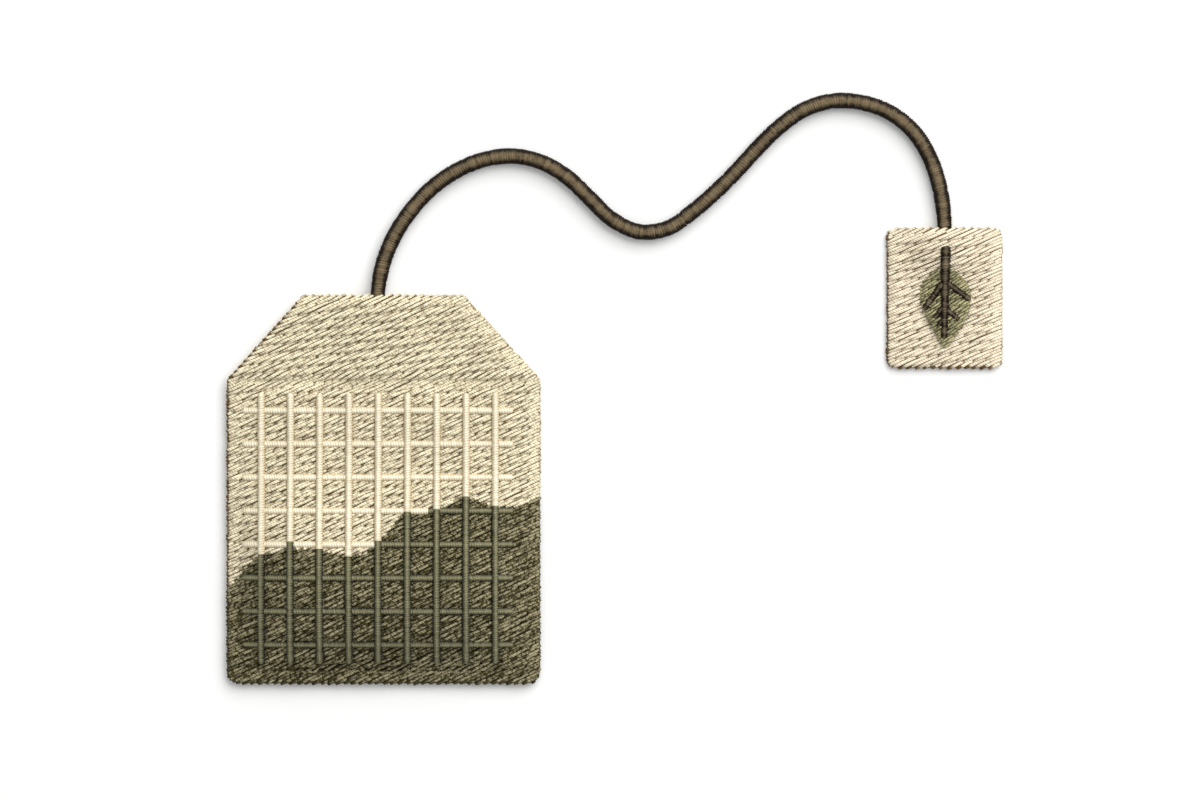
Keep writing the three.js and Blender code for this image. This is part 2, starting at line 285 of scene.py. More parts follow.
@dataclass(frozen=True)
class Finish(ABC):
    """What a piece is made of.

    Attributes:
        name: The material's name.
    """

    name: str

    def material(self) -> Material:
        """Makes the node material.

        Returns:
            The material.
        """
        made = bpy.data.materials.new(self.name)
        made.use_nodes = True
        made.node_tree.nodes.clear()
        add = partial(add_node, made.node_tree)
        surface = add("ShaderNodeBsdfPrincipled", inputs=self._surface(add))
        add("ShaderNodeOutputMaterial", inputs={"Surface": surface.outputs[0]})
        return made

    @abstractmethod
    def _surface(self, add: AddNode) -> dict[str, object]:
        """Adds the finish's own nodes.

        Args:
            add: Adds one node to the material.

        Returns:
            What goes into each input of the surface shader.
        """


@dataclass(frozen=True)
class Cotton(Finish):
    """Cotton that tea may have stained.

    Attributes:
        dry: Its colour range.
        soaked: Its colour range where tea has stained it, if tea reaches it.
    """

    dry: Dye
    soaked: Dye | None = None

    def _dyed(self, add: AddNode, depth: Node, stain: Node) -> NodeSocket:
        """Colours the cotton.

        Args:
            add: Adds one node to the material.
            depth: How far down its colour range each place is.
            stain: Where tea has stained it.

        Returns:
            The colour.
        """
        shades = []
        for dye in (self.dry, self.soaked or self.dry):
            ends = {0: depth.outputs[0], 6: linear(dye.pale), 7: linear(dye.deep)}
            shades.append(add("ShaderNodeMix", {"data_type": "RGBA"}, ends).outputs[2])
        stained = {0: stain.outputs["Fac"], 6: shades[0], 7: shades[1]}
        return add("ShaderNodeMix", {"data_type": "RGBA"}, stained).outputs[2]


@dataclass(frozen=True)
class CottonThread(Cotton):
    """Mercerised cotton thread: straightened fibres in two plies, dyed through.

    To the eye it is matte with a silky gleam along each strand and the plies as slanting ribs, and no two
    strands have quite the same colour.

    Attributes:
        ply: Distance between the plies' ribs. A real ply turns every 0.2 mm, too fine to show, so it is
            drawn about twice as coarse.
        relief: How deep the grooves between the plies look.
        fuzz: The size of its flecks, which are the gaps between stray fibres.
        fleck: How far down its colour range its flecks go.
        flank_shade_depth: How far down painted shade takes it at a strand's flanks and underside, leaving its crown
            pale.
        beaded_shade: How much of that painted shade lies in beads between the plies.
        stained_shade: How much further down painted shade and flecks take it where tea has stained it.
        roughness: Its gloss.
        sheen: Its halo of loose fibres.
        specular: The strength of its gloss, under a smooth plastic's 0.5 because fibres scatter light.
    """

    ply: float = 0.42 * MM
    relief: float = 0.07 * MM
    fuzz: float = 0.26 * MM
    fleck: float = 0.56
    flank_shade_depth: float = 0.28
    beaded_shade: float = 0.8
    stained_shade: float = 0.0
    roughness: float = 0.5
    sheen: float = 0.05
    specular: float = 0.25

    def _surface(self, add: AddNode) -> dict[str, object]:
        """Adds the thread's nodes, which read the strands' tint and painted shade, their stain and their run, and
        paint shade on their flanks.

        Args:
            add: Adds one node to the material.

        Returns:
            What goes into each input of the surface shader.
        """
        keys = ("tint", "stain", "run")
        tint, stain, run = (add("ShaderNodeAttribute", {"attribute_name": key}) for key in keys)
        place = add("ShaderNodeTexCoord").outputs["Object"]
        fuzz = add("ShaderNodeTexNoise", inputs={"Vector": place, "Scale": 0.5 / self.fuzz, "Detail": 2.0})
        gaps = {"Value": fuzz.outputs["Fac"], "From Min": 0.45, "From Max": 0.75, "To Max": self.fleck}
        flecks = add("ShaderNodeMapRange", inputs=gaps)
        turns = {0: run.outputs["Vector"], 1: (1 / self.ply, 2.0, 0.0)}
        turned = add("ShaderNodeVectorMath", {"operation": "MULTIPLY"}, turns)
        bands = {"wave_type": "BANDS", "bands_direction": "DIAGONAL", "wave_profile": "SIN"}
        ribs = {"Vector": turned.outputs[0], "Scale": 2 * ONE_WAVE, "Distortion": 1.2, "Detail": 1.0}
        plies = add("ShaderNodeTexWave", bands, ribs)
        flank_shade_mask = add("ShaderNodeSeparateXYZ", inputs={0: run.outputs["Vector"]})
        # Depth = flank mask x painted flank shade, partly in beads between plies, deepened where stained + flecks x
        # that boost + the strand's own tint and painted shade.
        sums = {"operation": "MULTIPLY_ADD"}
        crown = {0: plies.outputs["Fac"], 1: -self.beaded_shade * self.flank_shade_depth, 2: self.flank_shade_depth}
        between = add("ShaderNodeMath", sums, crown)
        stain_shade_boost = add("ShaderNodeMath", sums, {0: stain.outputs["Fac"], 1: self.stained_shade, 2: 1.0})
        stained_shade = {0: between.outputs[0], 1: stain_shade_boost.outputs[0]}
        flank_shade = add("ShaderNodeMath", {"operation": "MULTIPLY"}, stained_shade)
        own = {0: flecks.outputs["Result"], 1: stain_shade_boost.outputs[0], 2: tint.outputs["Fac"]}
        strand = add("ShaderNodeMath", sums, own)
        whole = {0: flank_shade_mask.outputs["Z"], 1: flank_shade.outputs[0], 2: strand.outputs[0]}
        depth = add("ShaderNodeMath", {**sums, "use_clamp": True}, whole)
        height = {"Strength": 1.0, "Distance": self.relief, "Height": plies.outputs["Fac"]}
        return {
            "Base Color": self._dyed(add, depth, stain),
            "Roughness": self.roughness,
            "Specular IOR Level": self.specular,
            "Sheen Weight": self.sheen,
            "Sheen Roughness": 0.45,
            "Normal": add("ShaderNodeBump", inputs=height).outputs[0],
        }


@dataclass(frozen=True)
class Muslin(Cotton):
    """Plain-woven cotton muslin, the ground cloth under the sewing.

    To the eye it is a dull open weave, seen only between threads, where its brown, darker than the thread, is
    painted shade.

    Attributes:
        count: Distance from one woven yarn to the next.
    """

    count: float = 0.35 * MM

    def _surface(self, add: AddNode) -> dict[str, object]:
        """Adds the muslin's nodes, with the weave as two crossed waves.

        Args:
            add: Adds one node to the material.

        Returns:
            What goes into each input of the surface shader.
        """
        stain = add("ShaderNodeAttribute", {"attribute_name": "stain"})
        place = add("ShaderNodeTexCoord").outputs["Object"]
        rows = {"Vector": place, "Scale": ONE_WAVE / self.count, "Distortion": 0.6}
        ways = [{"wave_type": "BANDS", "bands_direction": way} for way in "XY"]
        yarns = [add("ShaderNodeTexWave", way, rows) for way in ways]
        crossed = {i: yarn.outputs["Fac"] for i, yarn in enumerate(yarns)}
        weave = add("ShaderNodeMath", {"operation": "MULTIPLY"}, crossed)
        gaps = add("ShaderNodeMath", {"operation": "SUBTRACT"}, {0: 1.0, 1: weave.outputs[0]})
        height = {"Strength": 0.7, "Distance": 0.05 * MM, "Height": weave.outputs[0]}
        bump = add("ShaderNodeBump", inputs=height)
        return {"Base Color": self._dyed(add, gaps, stain), "Roughness": 0.92, "Normal": bump.outputs[0]}


@dataclass(frozen=True)
class BrokenTea(Finish):
    """Rolled and broken black tea leaf: dry, dark brown, with paler stalks and a dull waxy gleam.

    Attributes:
        leaf: The colour range of its flakes.
        flake: The size of one flake.
    """

    leaf: Dye
    flake: float = 1.2 * MM

    def _surface(self, add: AddNode) -> dict[str, object]:
        """Adds the tea's nodes, with flakes as the cells of a crackle.

        Args:
            add: Adds one node to the material.

        Returns:
            What goes into each input of the surface shader.
        """
        place = add("ShaderNodeTexCoord").outputs["Object"]
        cells = add("ShaderNodeTexVoronoi", inputs={"Vector": place, "Scale": 1 / self.flake})
        grain = add("ShaderNodeTexNoise", inputs={"Vector": place, "Scale": 4 / self.flake, "Detail": 4.0})
        shades = {0: cells.outputs["Color"], 6: linear(self.leaf.deep), 7: linear(self.leaf.pale)}
        colour = add("ShaderNodeMix", {"data_type": "RGBA"}, shades)
        height = {"Strength": 0.8, "Distance": 0.1 * MM, "Height": grain.outputs["Fac"]}
        bump = add("ShaderNodeBump", inputs=height)
        return {"Base Color": colour.outputs[2], "Roughness": 0.7, "Normal": bump.outputs[0]}


@dataclass(frozen=True)
class Board(Finish):
    """Matte painted board: an even, near-white floor with hardly any gloss.

    Attributes:
        colour: Its paint.
    """

    colour: str

    def _surface(self, add: AddNode) -> dict[str, object]:
        """Returns what goes into each input of the surface shader, all of it constant."""
        return {"Base Color": linear(self.colour), "Roughness": 0.9, "Specular IOR Level": 0.1}


# Soft, undyed thread: cream with brown flecks, and a patchy olive where tea has dried in it. Painted shade darkens
# its flanks, more where it is stained.
POUCH_THREAD = CottonThread(
    "Unbleached cotton thread",
    dry=Dye("#fff5d4", "#664a20"),
    soaked=Dye("#afa683", "#3d3610"),
    stained_shade=1.2,
)
# Undyed thread wound on a core: smooth and pale on its crown, with painted shade on its flanks, near black where
# stained.
CORD_THREAD = CottonThread(
    "Unbleached cotton gimp",
    dry=Dye("#fff8e0", "#b39c70"),
    soaked=Dye("#928e6c", "#12120a"),
    fleck=0.1,
    flank_shade_depth=0.7,
    beaded_shade=0.2,
    stained_shade=0.4,
    specular=0.15,
)
# The pouch's thread in a cleaner, more even cream, with the same painted shade on its flanks.
TAG_THREAD = CottonThread("Ecru cotton thread", dry=Dye("#fff2d7", "#664d26"), fleck=0.3)
# Dull, dyed thread wound on a core: mid brown on its crown, with painted shade taking its flanks nearly black.
STRING_THREAD = CottonThread(
    "Brown cotton gimp",
    dry=Dye("#917f62", "#19120a"),
    fleck=0.25,
    flank_shade_depth=1.25,
    beaded_shade=0.1,
    roughness=0.7,
    sheen=0.0,
    specular=0.1,
)
# Dyed thread, more matte than the undyed: sage, with mossy flecks and painted shade on its flanks.
LEAF_THREAD = CottonThread("Green cotton thread", dry=Dye("#c0b98c", "#2e2b12"), fleck=0.42, specular=0.1)
# The string's dull thread in a darker dye, wound more openly, with painted shade taking its flanks nearly black.
STEM_THREAD = CottonThread(
    "Dark brown cotton thread",
    dry=Dye("#7e705a", "#18110a"),
    fleck=0.3,
    flank_shade_depth=0.9,
    beaded_shade=0.1,
    roughness=0.7,
    sheen=0.0,
    specular=0.1,
)
# Undyed cloth with no gloss, coloured darker than its thread as painted shade between threads; nearly black where
# wet through, partly tea stain and partly painted shade.
POUCH_GROUND = Muslin("Unbleached muslin", dry=Dye("#a78e5e", "#6b552e"), soaked=Dye("#302b11", "#1c1907"))
# The tag's ground cloth in the same brown, as painted shade between its threads.
TAG_GROUND = Muslin("Ecru muslin", dry=Dye("#a78e5e", "#6b552e"))
TEA_LEAF = BrokenTea("Broken black tea", leaf=Dye("#6a5733", "#1f170c"))
WHITE_BOARD = Board("White matte board", "#f6f6f5")


# ---- Threads laid on cloth ----


class Side(Enum):
    """Which way a face of the lying object looks."""

    FRONT = 1
    BACK = -1


@dataclass(frozen=True)
class Skin:
    """One face of a piece of cloth, as a height over the table.

    Attributes:
        height: The face's height at any place.
        side: Which way the face looks.
        step: Its slope is measured over twice this distance.
    """

    height: Field
    side: Side = Side.FRONT
    step: float = 0.06 * MM

    def normals(self, x: Array, y: Array) -> Array:
        """Finds the directions that stand out of the face.

        Args:
            x, y: The places.

        Returns:
            The directions, three numbers each.
        """
        step = self.step
        along_x = (self.height(x + step, y) - self.height(x - step, y)) / (2 * step)
        along_y = (self.height(x, y + step) - self.height(x, y - step)) / (2 * step)
        return unit(np.stack([-along_x, -along_y, np.ones_like(along_x)], -1)) * self.side.value

    def points(self, x: Array, y: Array, lift: Array | float = 0.0) -> Array:
        """Returns the points that stand off the face by the lift at the places."""
        flat = np.stack([x, y, self.height(x, y)], -1)
        return flat + self.normals(x, y) * np.asarray(lift)[..., None]


class Section(Enum):
    """The outline of a bar of thread, as angles round its middle."""

    HALF_ROUND = tuple(math.pi * i / 5 for i in range(6))
    LOW_ARCH = tuple(math.pi * i / 8 for i in range(9))
    ROUND = tuple(2 * math.pi * i / 14 for i in range(14))


@dataclass
class Strands:
    """Bars of thread that are gathered into one mesh.

    Attributes:
        section: The bars' outline.
    """

    section: Section
    _points: list[Array] = field(default_factory=list)
    _values: dict[str, list[Array]] = field(default_factory=dict)
    _faces: list[Array] = field(default_factory=list)
    _count: int = 0

    def add(
        self, path: Array, up: Array, half_width: Array, height: Array, tint: Array, stain: Array
    ) -> None:
        """Adds bars that all have the same number of rings.

        Args:
            path: Each bar's line: bars, rings, three numbers.
            up: The direction out of the cloth at each ring.
            half_width: Half the bar's width at each ring.
            height: The bar's height above its line at each ring.
            tint: Where in its dye's range each ring is, from its own tint and from painted shade.
            stain: 1 where tea has stained the ring, or else 0.
        """
        bars, rings = path.shape[:2]
        angles = np.array(self.section.value)
        side = unit(np.cross(np.gradient(path, axis=1), up))
        across = (np.cos(angles) * half_width[..., None])[..., None] * side[:, :, None]
        above = (np.sin(angles) * height[..., None])[..., None] * up[:, :, None]
        self._points.append((path[:, :, None] + across + above).reshape(-1, 3))
        lengths = np.linalg.norm(np.diff(path, axis=1), axis=-1)
        run = np.concatenate([np.zeros((bars, 1)), np.cumsum(lengths, axis=1)], axis=1)
        # The run's third value is a painted shade mask: 0 on a bar's crown, rising to 1 at its flanks and on its
        # underside.
        underside = np.sin(angles) < -0.01
        flank_shade_mask = np.where(underside, 1, np.abs(np.cos(angles)))
        rows = [tint[..., None], stain[..., None], run[..., None], angles / (2 * math.pi), flank_shade_mask]
        shape = (bars, rings, len(angles))
        tints, stains, *runs = (np.broadcast_to(row, shape) for row in rows)
        values = {"tint": tints.ravel(), "stain": stains.ravel(), "run": np.stack(runs, -1).reshape(-1, 3)}
        for key, value in values.items():
            self._values.setdefault(key, []).append(value)
        grid = self._count + np.arange(math.prod(shape)).reshape(shape)
        turned = np.roll(grid, -1, axis=2)
        walls = [grid[:, :-1], grid[:, 1:], turned[:, 1:], turned[:, :-1]]
        self._faces += [np.stack(walls, -1).reshape(-1, 4), grid[:, 0], grid[:, -1, ::-1]]
        self._count += grid.size

    def build(self, name: str, material: Material) -> Object:
        """Makes the mesh object of all the bars."""
        values = {key: np.concatenate(parts) for key, parts in self._values.items()}
        return mesh_object(name, np.concatenate(self._points), self._faces, values, material)


@dataclass(frozen=True)
class FillStitch:
    """Rows of parallel threads that cover a piece of cloth, each row let down at its needle holes.

    Attributes:
        seed: The start of its random numbers.
        angle: The rows' direction from +X towards +Y.
        pitch: Distance between rows.
        stitch: Length of thread from one needle hole to the next.
        shortest: The shortest stitch, as a share of that length.
        shifts: The needle holes of neighbouring rows step by one stitch over this number.
        strayed: How unevenly the needle holes are placed along a row.
        width: A thread's width. It is a little over the pitch, so that threads touch.
        thickness: A thread's height over its underside.
        plump: The least and most of its width that a thread has.
        tip: A thread narrows between these shares of the way from its end.
        tip_width, tip_thickness: How much of its width and thickness it keeps there.
        crown: How far a loose thread stands off the cloth at the top of its arch.
        slack: The least and most of its crown that a thread has.
        flattest: The least of its crown and its painted arch shade that a short thread has.
        arch: Shares of the way along a thread, with how much of its crown and of its painted arch shade it has
            there.
        arch_shade: How far down its dye's range painted shade takes a thread along its arch: most at its holes and
            on its rising side, away from the light, least at its top.
        spread: How much of its dye's range the threads take up.
        soak: How much more of it they take up where tea has stained them, since they soak it up unevenly.
        ragged: How unevenly rows end at an edge.
        slant: How far a thread steps across its row from hole to hole, so that its end lies over the start
            of the next one.
        wander: How unevenly threads lie beside their row.
    """

    seed: int
    angle: float = math.radians(22.9)
    pitch: float = 0.483 * MM
    stitch: float = 5.12 * MM
    shortest: float = 0.2
    shifts: int = 3
    strayed: float = 0.2 * MM
    width: float = 0.53 * MM
    thickness: float = 0.28 * MM
    plump: tuple[float, float] = (0.94, 1.06)
    tip: tuple[float, float] = (0.08, -0.04)
    tip_width: float = 0.6
    tip_thickness: float = 0.5
    crown: float = 0.52 * MM
    slack: tuple[float, float] = (0.65, 1.35)
    flattest: float = 0.3
    arch: tuple[tuple[float, float, float], ...] = (
        (0.0, -0.12, 1.0), (0.05, 0.03, 0.95), (0.1, 0.16, 0.85), (0.18, 0.42, 0.65), (0.27, 0.76, 0.38),
        (0.35, 0.97, 0.1), (0.43, 1.0, 0.0), (0.52, 0.86, 0.0), (0.61, 0.68, 0.15), (0.72, 0.54, 0.25),
        (0.84, 0.46, 0.3), (0.93, 0.34, 0.4), (1.0, -0.12, 1.0),
    )
    arch_shade: float = 0.23
    spread: float = 0.12
    soak: float = 0.3
    ragged: float = 0.12 * MM
    slant: float = 0.12 * MM
    wander: float = 0.035 * MM

    def sew(
        self,
        strands: Strands,
        skin: Skin,
        box: Box,
        covers: Field,
        stained: Field = nowhere,
        loose: Field = everywhere,
        shade: Field = nowhere,
        lift: float = 0.0,
    ) -> None:
        """Lays the threads over a region of a face.

        Args:
            strands: Where the threads are gathered.
            skin: The face that they lie on.
            box: The region's left, foot, right and head.
            covers: Whether a place is in the region.
            stained: Whether a place is stained.
            loose: How much of their crown the threads have at a place.
            shade: How much painted shade deepens their dye at a place.
            lift: How far above the face the threads start.
        """
        rng = np.random.default_rng(self.seed)
        table = np.array(list(self._threads(box, covers, stained, rng)))
        row, start, end, hole, next_hole, stain = table.T[:, :, None]
        shares, arch, arch_shade = np.array(self.arch).T
        along = mix(start, end, shares)
        tau = (along - hole) / (next_hole - hole)
        slant = rng.normal(self.slant, self.wander, row.shape)
        beside = row * self.pitch + rng.normal(0, self.wander, row.shape) + slant * (tau - 0.5)
        x = along * math.cos(self.angle) - beside * math.sin(self.angle)
        y = along * math.sin(self.angle) + beside * math.cos(self.angle)
        length = np.clip((next_hole - hole) / self.stitch, self.flattest, 1)
        slack = length * rng.uniform(*self.slack, start.shape)
        free = loose(x, y)
        bow = np.interp(tau, shares, arch) * slack * free
        path = skin.points(x, y, lift + self.crown * bow)
        full = ease(np.minimum(tau, 1 - tau), self.tip[1], self.tip[0])
        plump = rng.uniform(*self.plump, start.shape)
        half_width = self.width / 2 * mix(self.tip_width, 1, full) * plump
        thickness = self.thickness * mix(self.tip_thickness, 1, full)
        tint = (self.spread + self.soak * stain) * rng.uniform(0, 1, start.shape)
        # Painted shade from the shade field, at the outline and beside cords, random for each thread.
        tint = tint + shade(x, y) * rng.uniform(0.2, 1, start.shape)
        # Painted shade along each stitch's arch, darkest at its holes and on its rising side, away from the light.
        tint = tint + self.arch_shade * np.interp(tau, shares, arch_shade) * length * free
        strands.add(path, skin.normals(x, y), half_width, thickness, tint, np.broadcast_to(stain, x.shape))

    def _threads(
        self, box: Box, covers: Field, stained: Field, rng: np.random.Generator
    ) -> Iterator[tuple[float, ...]]:
        """Finds the threads of every row.

        Args:
            box: The region's left, foot, right and head.
            covers: Whether a place is in the region.
            stained: Whether a place is stained.
            rng: The source of random numbers.

        Yields:
            Each thread's row, ends, needle holes and stain.
        """
        left, foot, right, head = box
        cos, sin = math.cos(self.angle), math.sin(self.angle)
        corners = [(x * cos + y * sin, y * cos - x * sin) for x in (left, right) for y in (foot, head)]
        lowest, highest = (extreme(c[1] for c in corners) / self.pitch for extreme in (min, max))
        probe, beyond = 0.04 * MM, MM
        places = np.arange(min(corners)[0] - beyond, max(corners)[0] + beyond, probe)
        rows = np.arange(math.floor(lowest), math.ceil(highest) + 1)[:, None]
        x = places * cos - rows * self.pitch * sin
        y = places * sin + rows * self.pitch * cos
        for row, covered, soaked in zip(rows[:, 0], covers(x, y), stained(x, y), strict=True):
            for low, high in self._stretches(covered):
                if covered[low]:
                    for hole, next_hole in self._row(int(row), places[low], places[high - 1], rng):
                        yield from self._coloured(int(row), hole, next_hole, places, soaked)

    @staticmethod
    def _stretches(kinds: Array) -> Iterator[tuple[int, int]]:
        """Yields where each run of like values starts and ends."""
        cuts = np.flatnonzero(np.diff(kinds)) + 1
        yield from pairwise([0, *cuts, len(kinds)])

    def _row(
        self, row: int, start: float, end: float, rng: np.random.Generator
    ) -> Iterator[tuple[float, float]]:
        """Divides one stretch of a row into stitches.

        Args:
            row: The row's number.
            start, end: The stretch's ends.
            rng: The source of random numbers.

        Yields:
            Each stitch's two needle holes.
        """
        least = self.shortest * self.stitch
        phase = (-row % self.shifts) / self.shifts
        start, end = start - rng.uniform(-1, 2) * self.ragged, end + rng.uniform(-1, 2) * self.ragged
        if end - start < 0.5 * least:
            return
        first = math.ceil(start / self.stitch - phase)
        last = math.floor(end / self.stitch - phase)
        holes = [(k + phase) * self.stitch + rng.normal(0, self.strayed) for k in range(first, last + 1)]
        holes = [hole for hole in holes if start + least < hole < end - least]
        yield from pairwise([start, *holes, end])

    def _coloured(
        self, row: int, hole: float, next_hole: float, places: Array, soaked: Array
    ) -> Iterator[tuple[float, ...]]:
        """Divides one stitch where tea's stain ends, into threads that share its arch.

        Args:
            row: The row's number.
            hole, next_hole: The stitch's two needle holes.
            places: Places along the row.
            soaked: Whether each of them is stained.

        Yields:
            Each thread's row, ends, needle holes and stain.
        """
        low, high = np.searchsorted(places, (hole, next_hole))
        for first, last in self._stretches(soaked[low:high]):
            start = hole if first == 0 else places[low + first]
            end = next_hole if last == high - low else places[low + last]
            yield row, start, end, hole, next_hole, float(soaked[low + first])


@dataclass(frozen=True)
class Wrapping:
    """Thread wound closely round a core, turn beside turn.

    Attributes:
        seed: The start of its random numbers.
        groove: How much the core narrows between turns, as a share of its width.
        turn: Distance from one turn to the next.
        uneven: How much turns differ, as a share of its width.
        spread: How much of its dye's range the turns take up.
        taper, end: The core narrows over this distance to its ends, to this share of its width.
        RINGS: The number of rings a turn is made of.
    """

    seed: int
    groove: float
    turn: float = 0.32 * MM
    uneven: float = 0.04
    spread: float = 0.26
    taper: float = 0.5 * MM
    end: float = 0.45

    RINGS = 3

    def rings(self, length: float) -> Array:
        """Returns each ring's share of the way along a core of that length."""
        return np.linspace(0, 1, max(4, round(length / self.turn)) * self.RINGS + 1)

    def swell(self, cores: int, shares: Array, length: float) -> Array:
        """Works out how wide each ring is.

        Args:
            cores: The number of cores.
            shares: The rings' shares of the way along.
            length: The cores' length.

        Returns:
            A share of the full width for each core and ring.
        """
        rng = np.random.default_rng(self.seed)
        ring = np.arange(len(shares))
        turns = 1 - np.abs(rng.normal(0, self.uneven, (cores, len(shares) // self.RINGS + 2)))
        ridge = np.where(ring % self.RINGS == 0, 1 - self.groove, 1.0)
        from_end = np.minimum(shares, 1 - shares) * length
        narrow = mix(self.end, 1, np.sqrt(np.clip(from_end / self.taper, 0, 1)))
        return ridge * turns[:, ring // self.RINGS] * narrow

    def tints(self, cores: int, shares: Array) -> Array:
        """Returns where in its dye's range each ring is: one random value a turn."""
        turns = np.random.default_rng(self.seed + 1).beta(2, 2, (cores, len(shares) // self.RINGS + 2))
        return self.spread * turns[:, np.arange(len(shares)) // self.RINGS]


# ---- Forms ----


@dataclass(frozen=True)
class TeaLine:
    """Where the tea stops, from the pouch's left edge to its right one.

    Attributes:
        places: Points on the line, in millimetres.
    """

    places: tuple[tuple[float, float], ...] = (
        (-25, -16), (-20, -10.6), (-15, -9.5), (-10.5, -9.5), (-6, -10.8), (-3, -10.4), (0.7, -7),
        (3.1, -3.9), (8.5, -3.4), (13, -1.2), (17.5, -2.8), (21, -2.8), (25, -1.4),
    )

    def height(self, x: Array) -> Array:
        """Returns the line's place along Y at each place across."""
        points = np.array(self.places) * MM
        return np.interp(x, points[:, 0], points[:, 1])

    def stained(self, x: Array, y: Array) -> Array:
        """Returns whether each place is below the line."""
        return y < self.height(x)


class Form(ABC):
    """The shape of a thin piece as it lies: its outline and its two faces."""

    @abstractmethod
    def inset(self, x: Array, y: Array) -> Array:
        """Returns how far inside the outline each place is, measured square to the nearest edge."""

    @abstractmethod
    def height(self, side: Side, x: Array, y: Array) -> Array:
        """Returns one face's height at each place."""

    def within(self, margin: float, x: Array, y: Array) -> Array:
        """Returns whether each place is inside the outline by more than the margin."""
        return self.inset(x, y) > margin

    def skin(self, side: Side) -> Skin:
        """Returns one face."""
        return Skin(partial(self.height, side), side)

    def plate(self, x: Array, y: Array) -> Solid:
        """Makes the closed plate between the two faces over a net of places."""
        return plate(x, y, partial(self.height, Side.BACK), partial(self.height, Side.FRONT))


@dataclass(frozen=True)
class SewnForm(Form):
    """The shape of a sewn piece of cloth that fills an upright box.

    Attributes:
        left, foot, right, head: The outline's box.
    """

    left: float
    foot: float
    right: float
    head: float

    @classmethod
    def over(cls, node: str) -> Self:
        """Makes the form that fills a CAD piece's box."""
        low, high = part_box(node)
        return cls(low[0], low[1], high[0], high[1])

    @property
    def box(self) -> Box:
        """The outline's left, foot, right and head."""
        return self.left, self.foot, self.right, self.head

    @property
    def middle(self) -> float:
        """The middle line's place across."""
        return (self.left + self.right) / 2

    def ends(self, hem: float, x: Array, y: Array) -> Array:
        """Finds the painted shade on threads at their ends on the outline, deepest along the left and the foot, the
        sides away from the light.

        Args:
            hem: The width of the hems along the right and the head.
            x, y: The places.

        Returns:
            A share of their dye's range.
        """
        # Painted shade: strong on the sides away from the light, weak along the right and the head.
        shaded_side_depth, lit_side_depth, reach = 2.5, 0.35, 0.4 * MM
        shaded_side = (y < self.foot + hem) | ((x < self.middle) & (y < self.head - hem))
        return np.where(shaded_side, shaded_side_depth, lit_side_depth) * (1 - ease(self.inset(x, y), 0.0, reach))


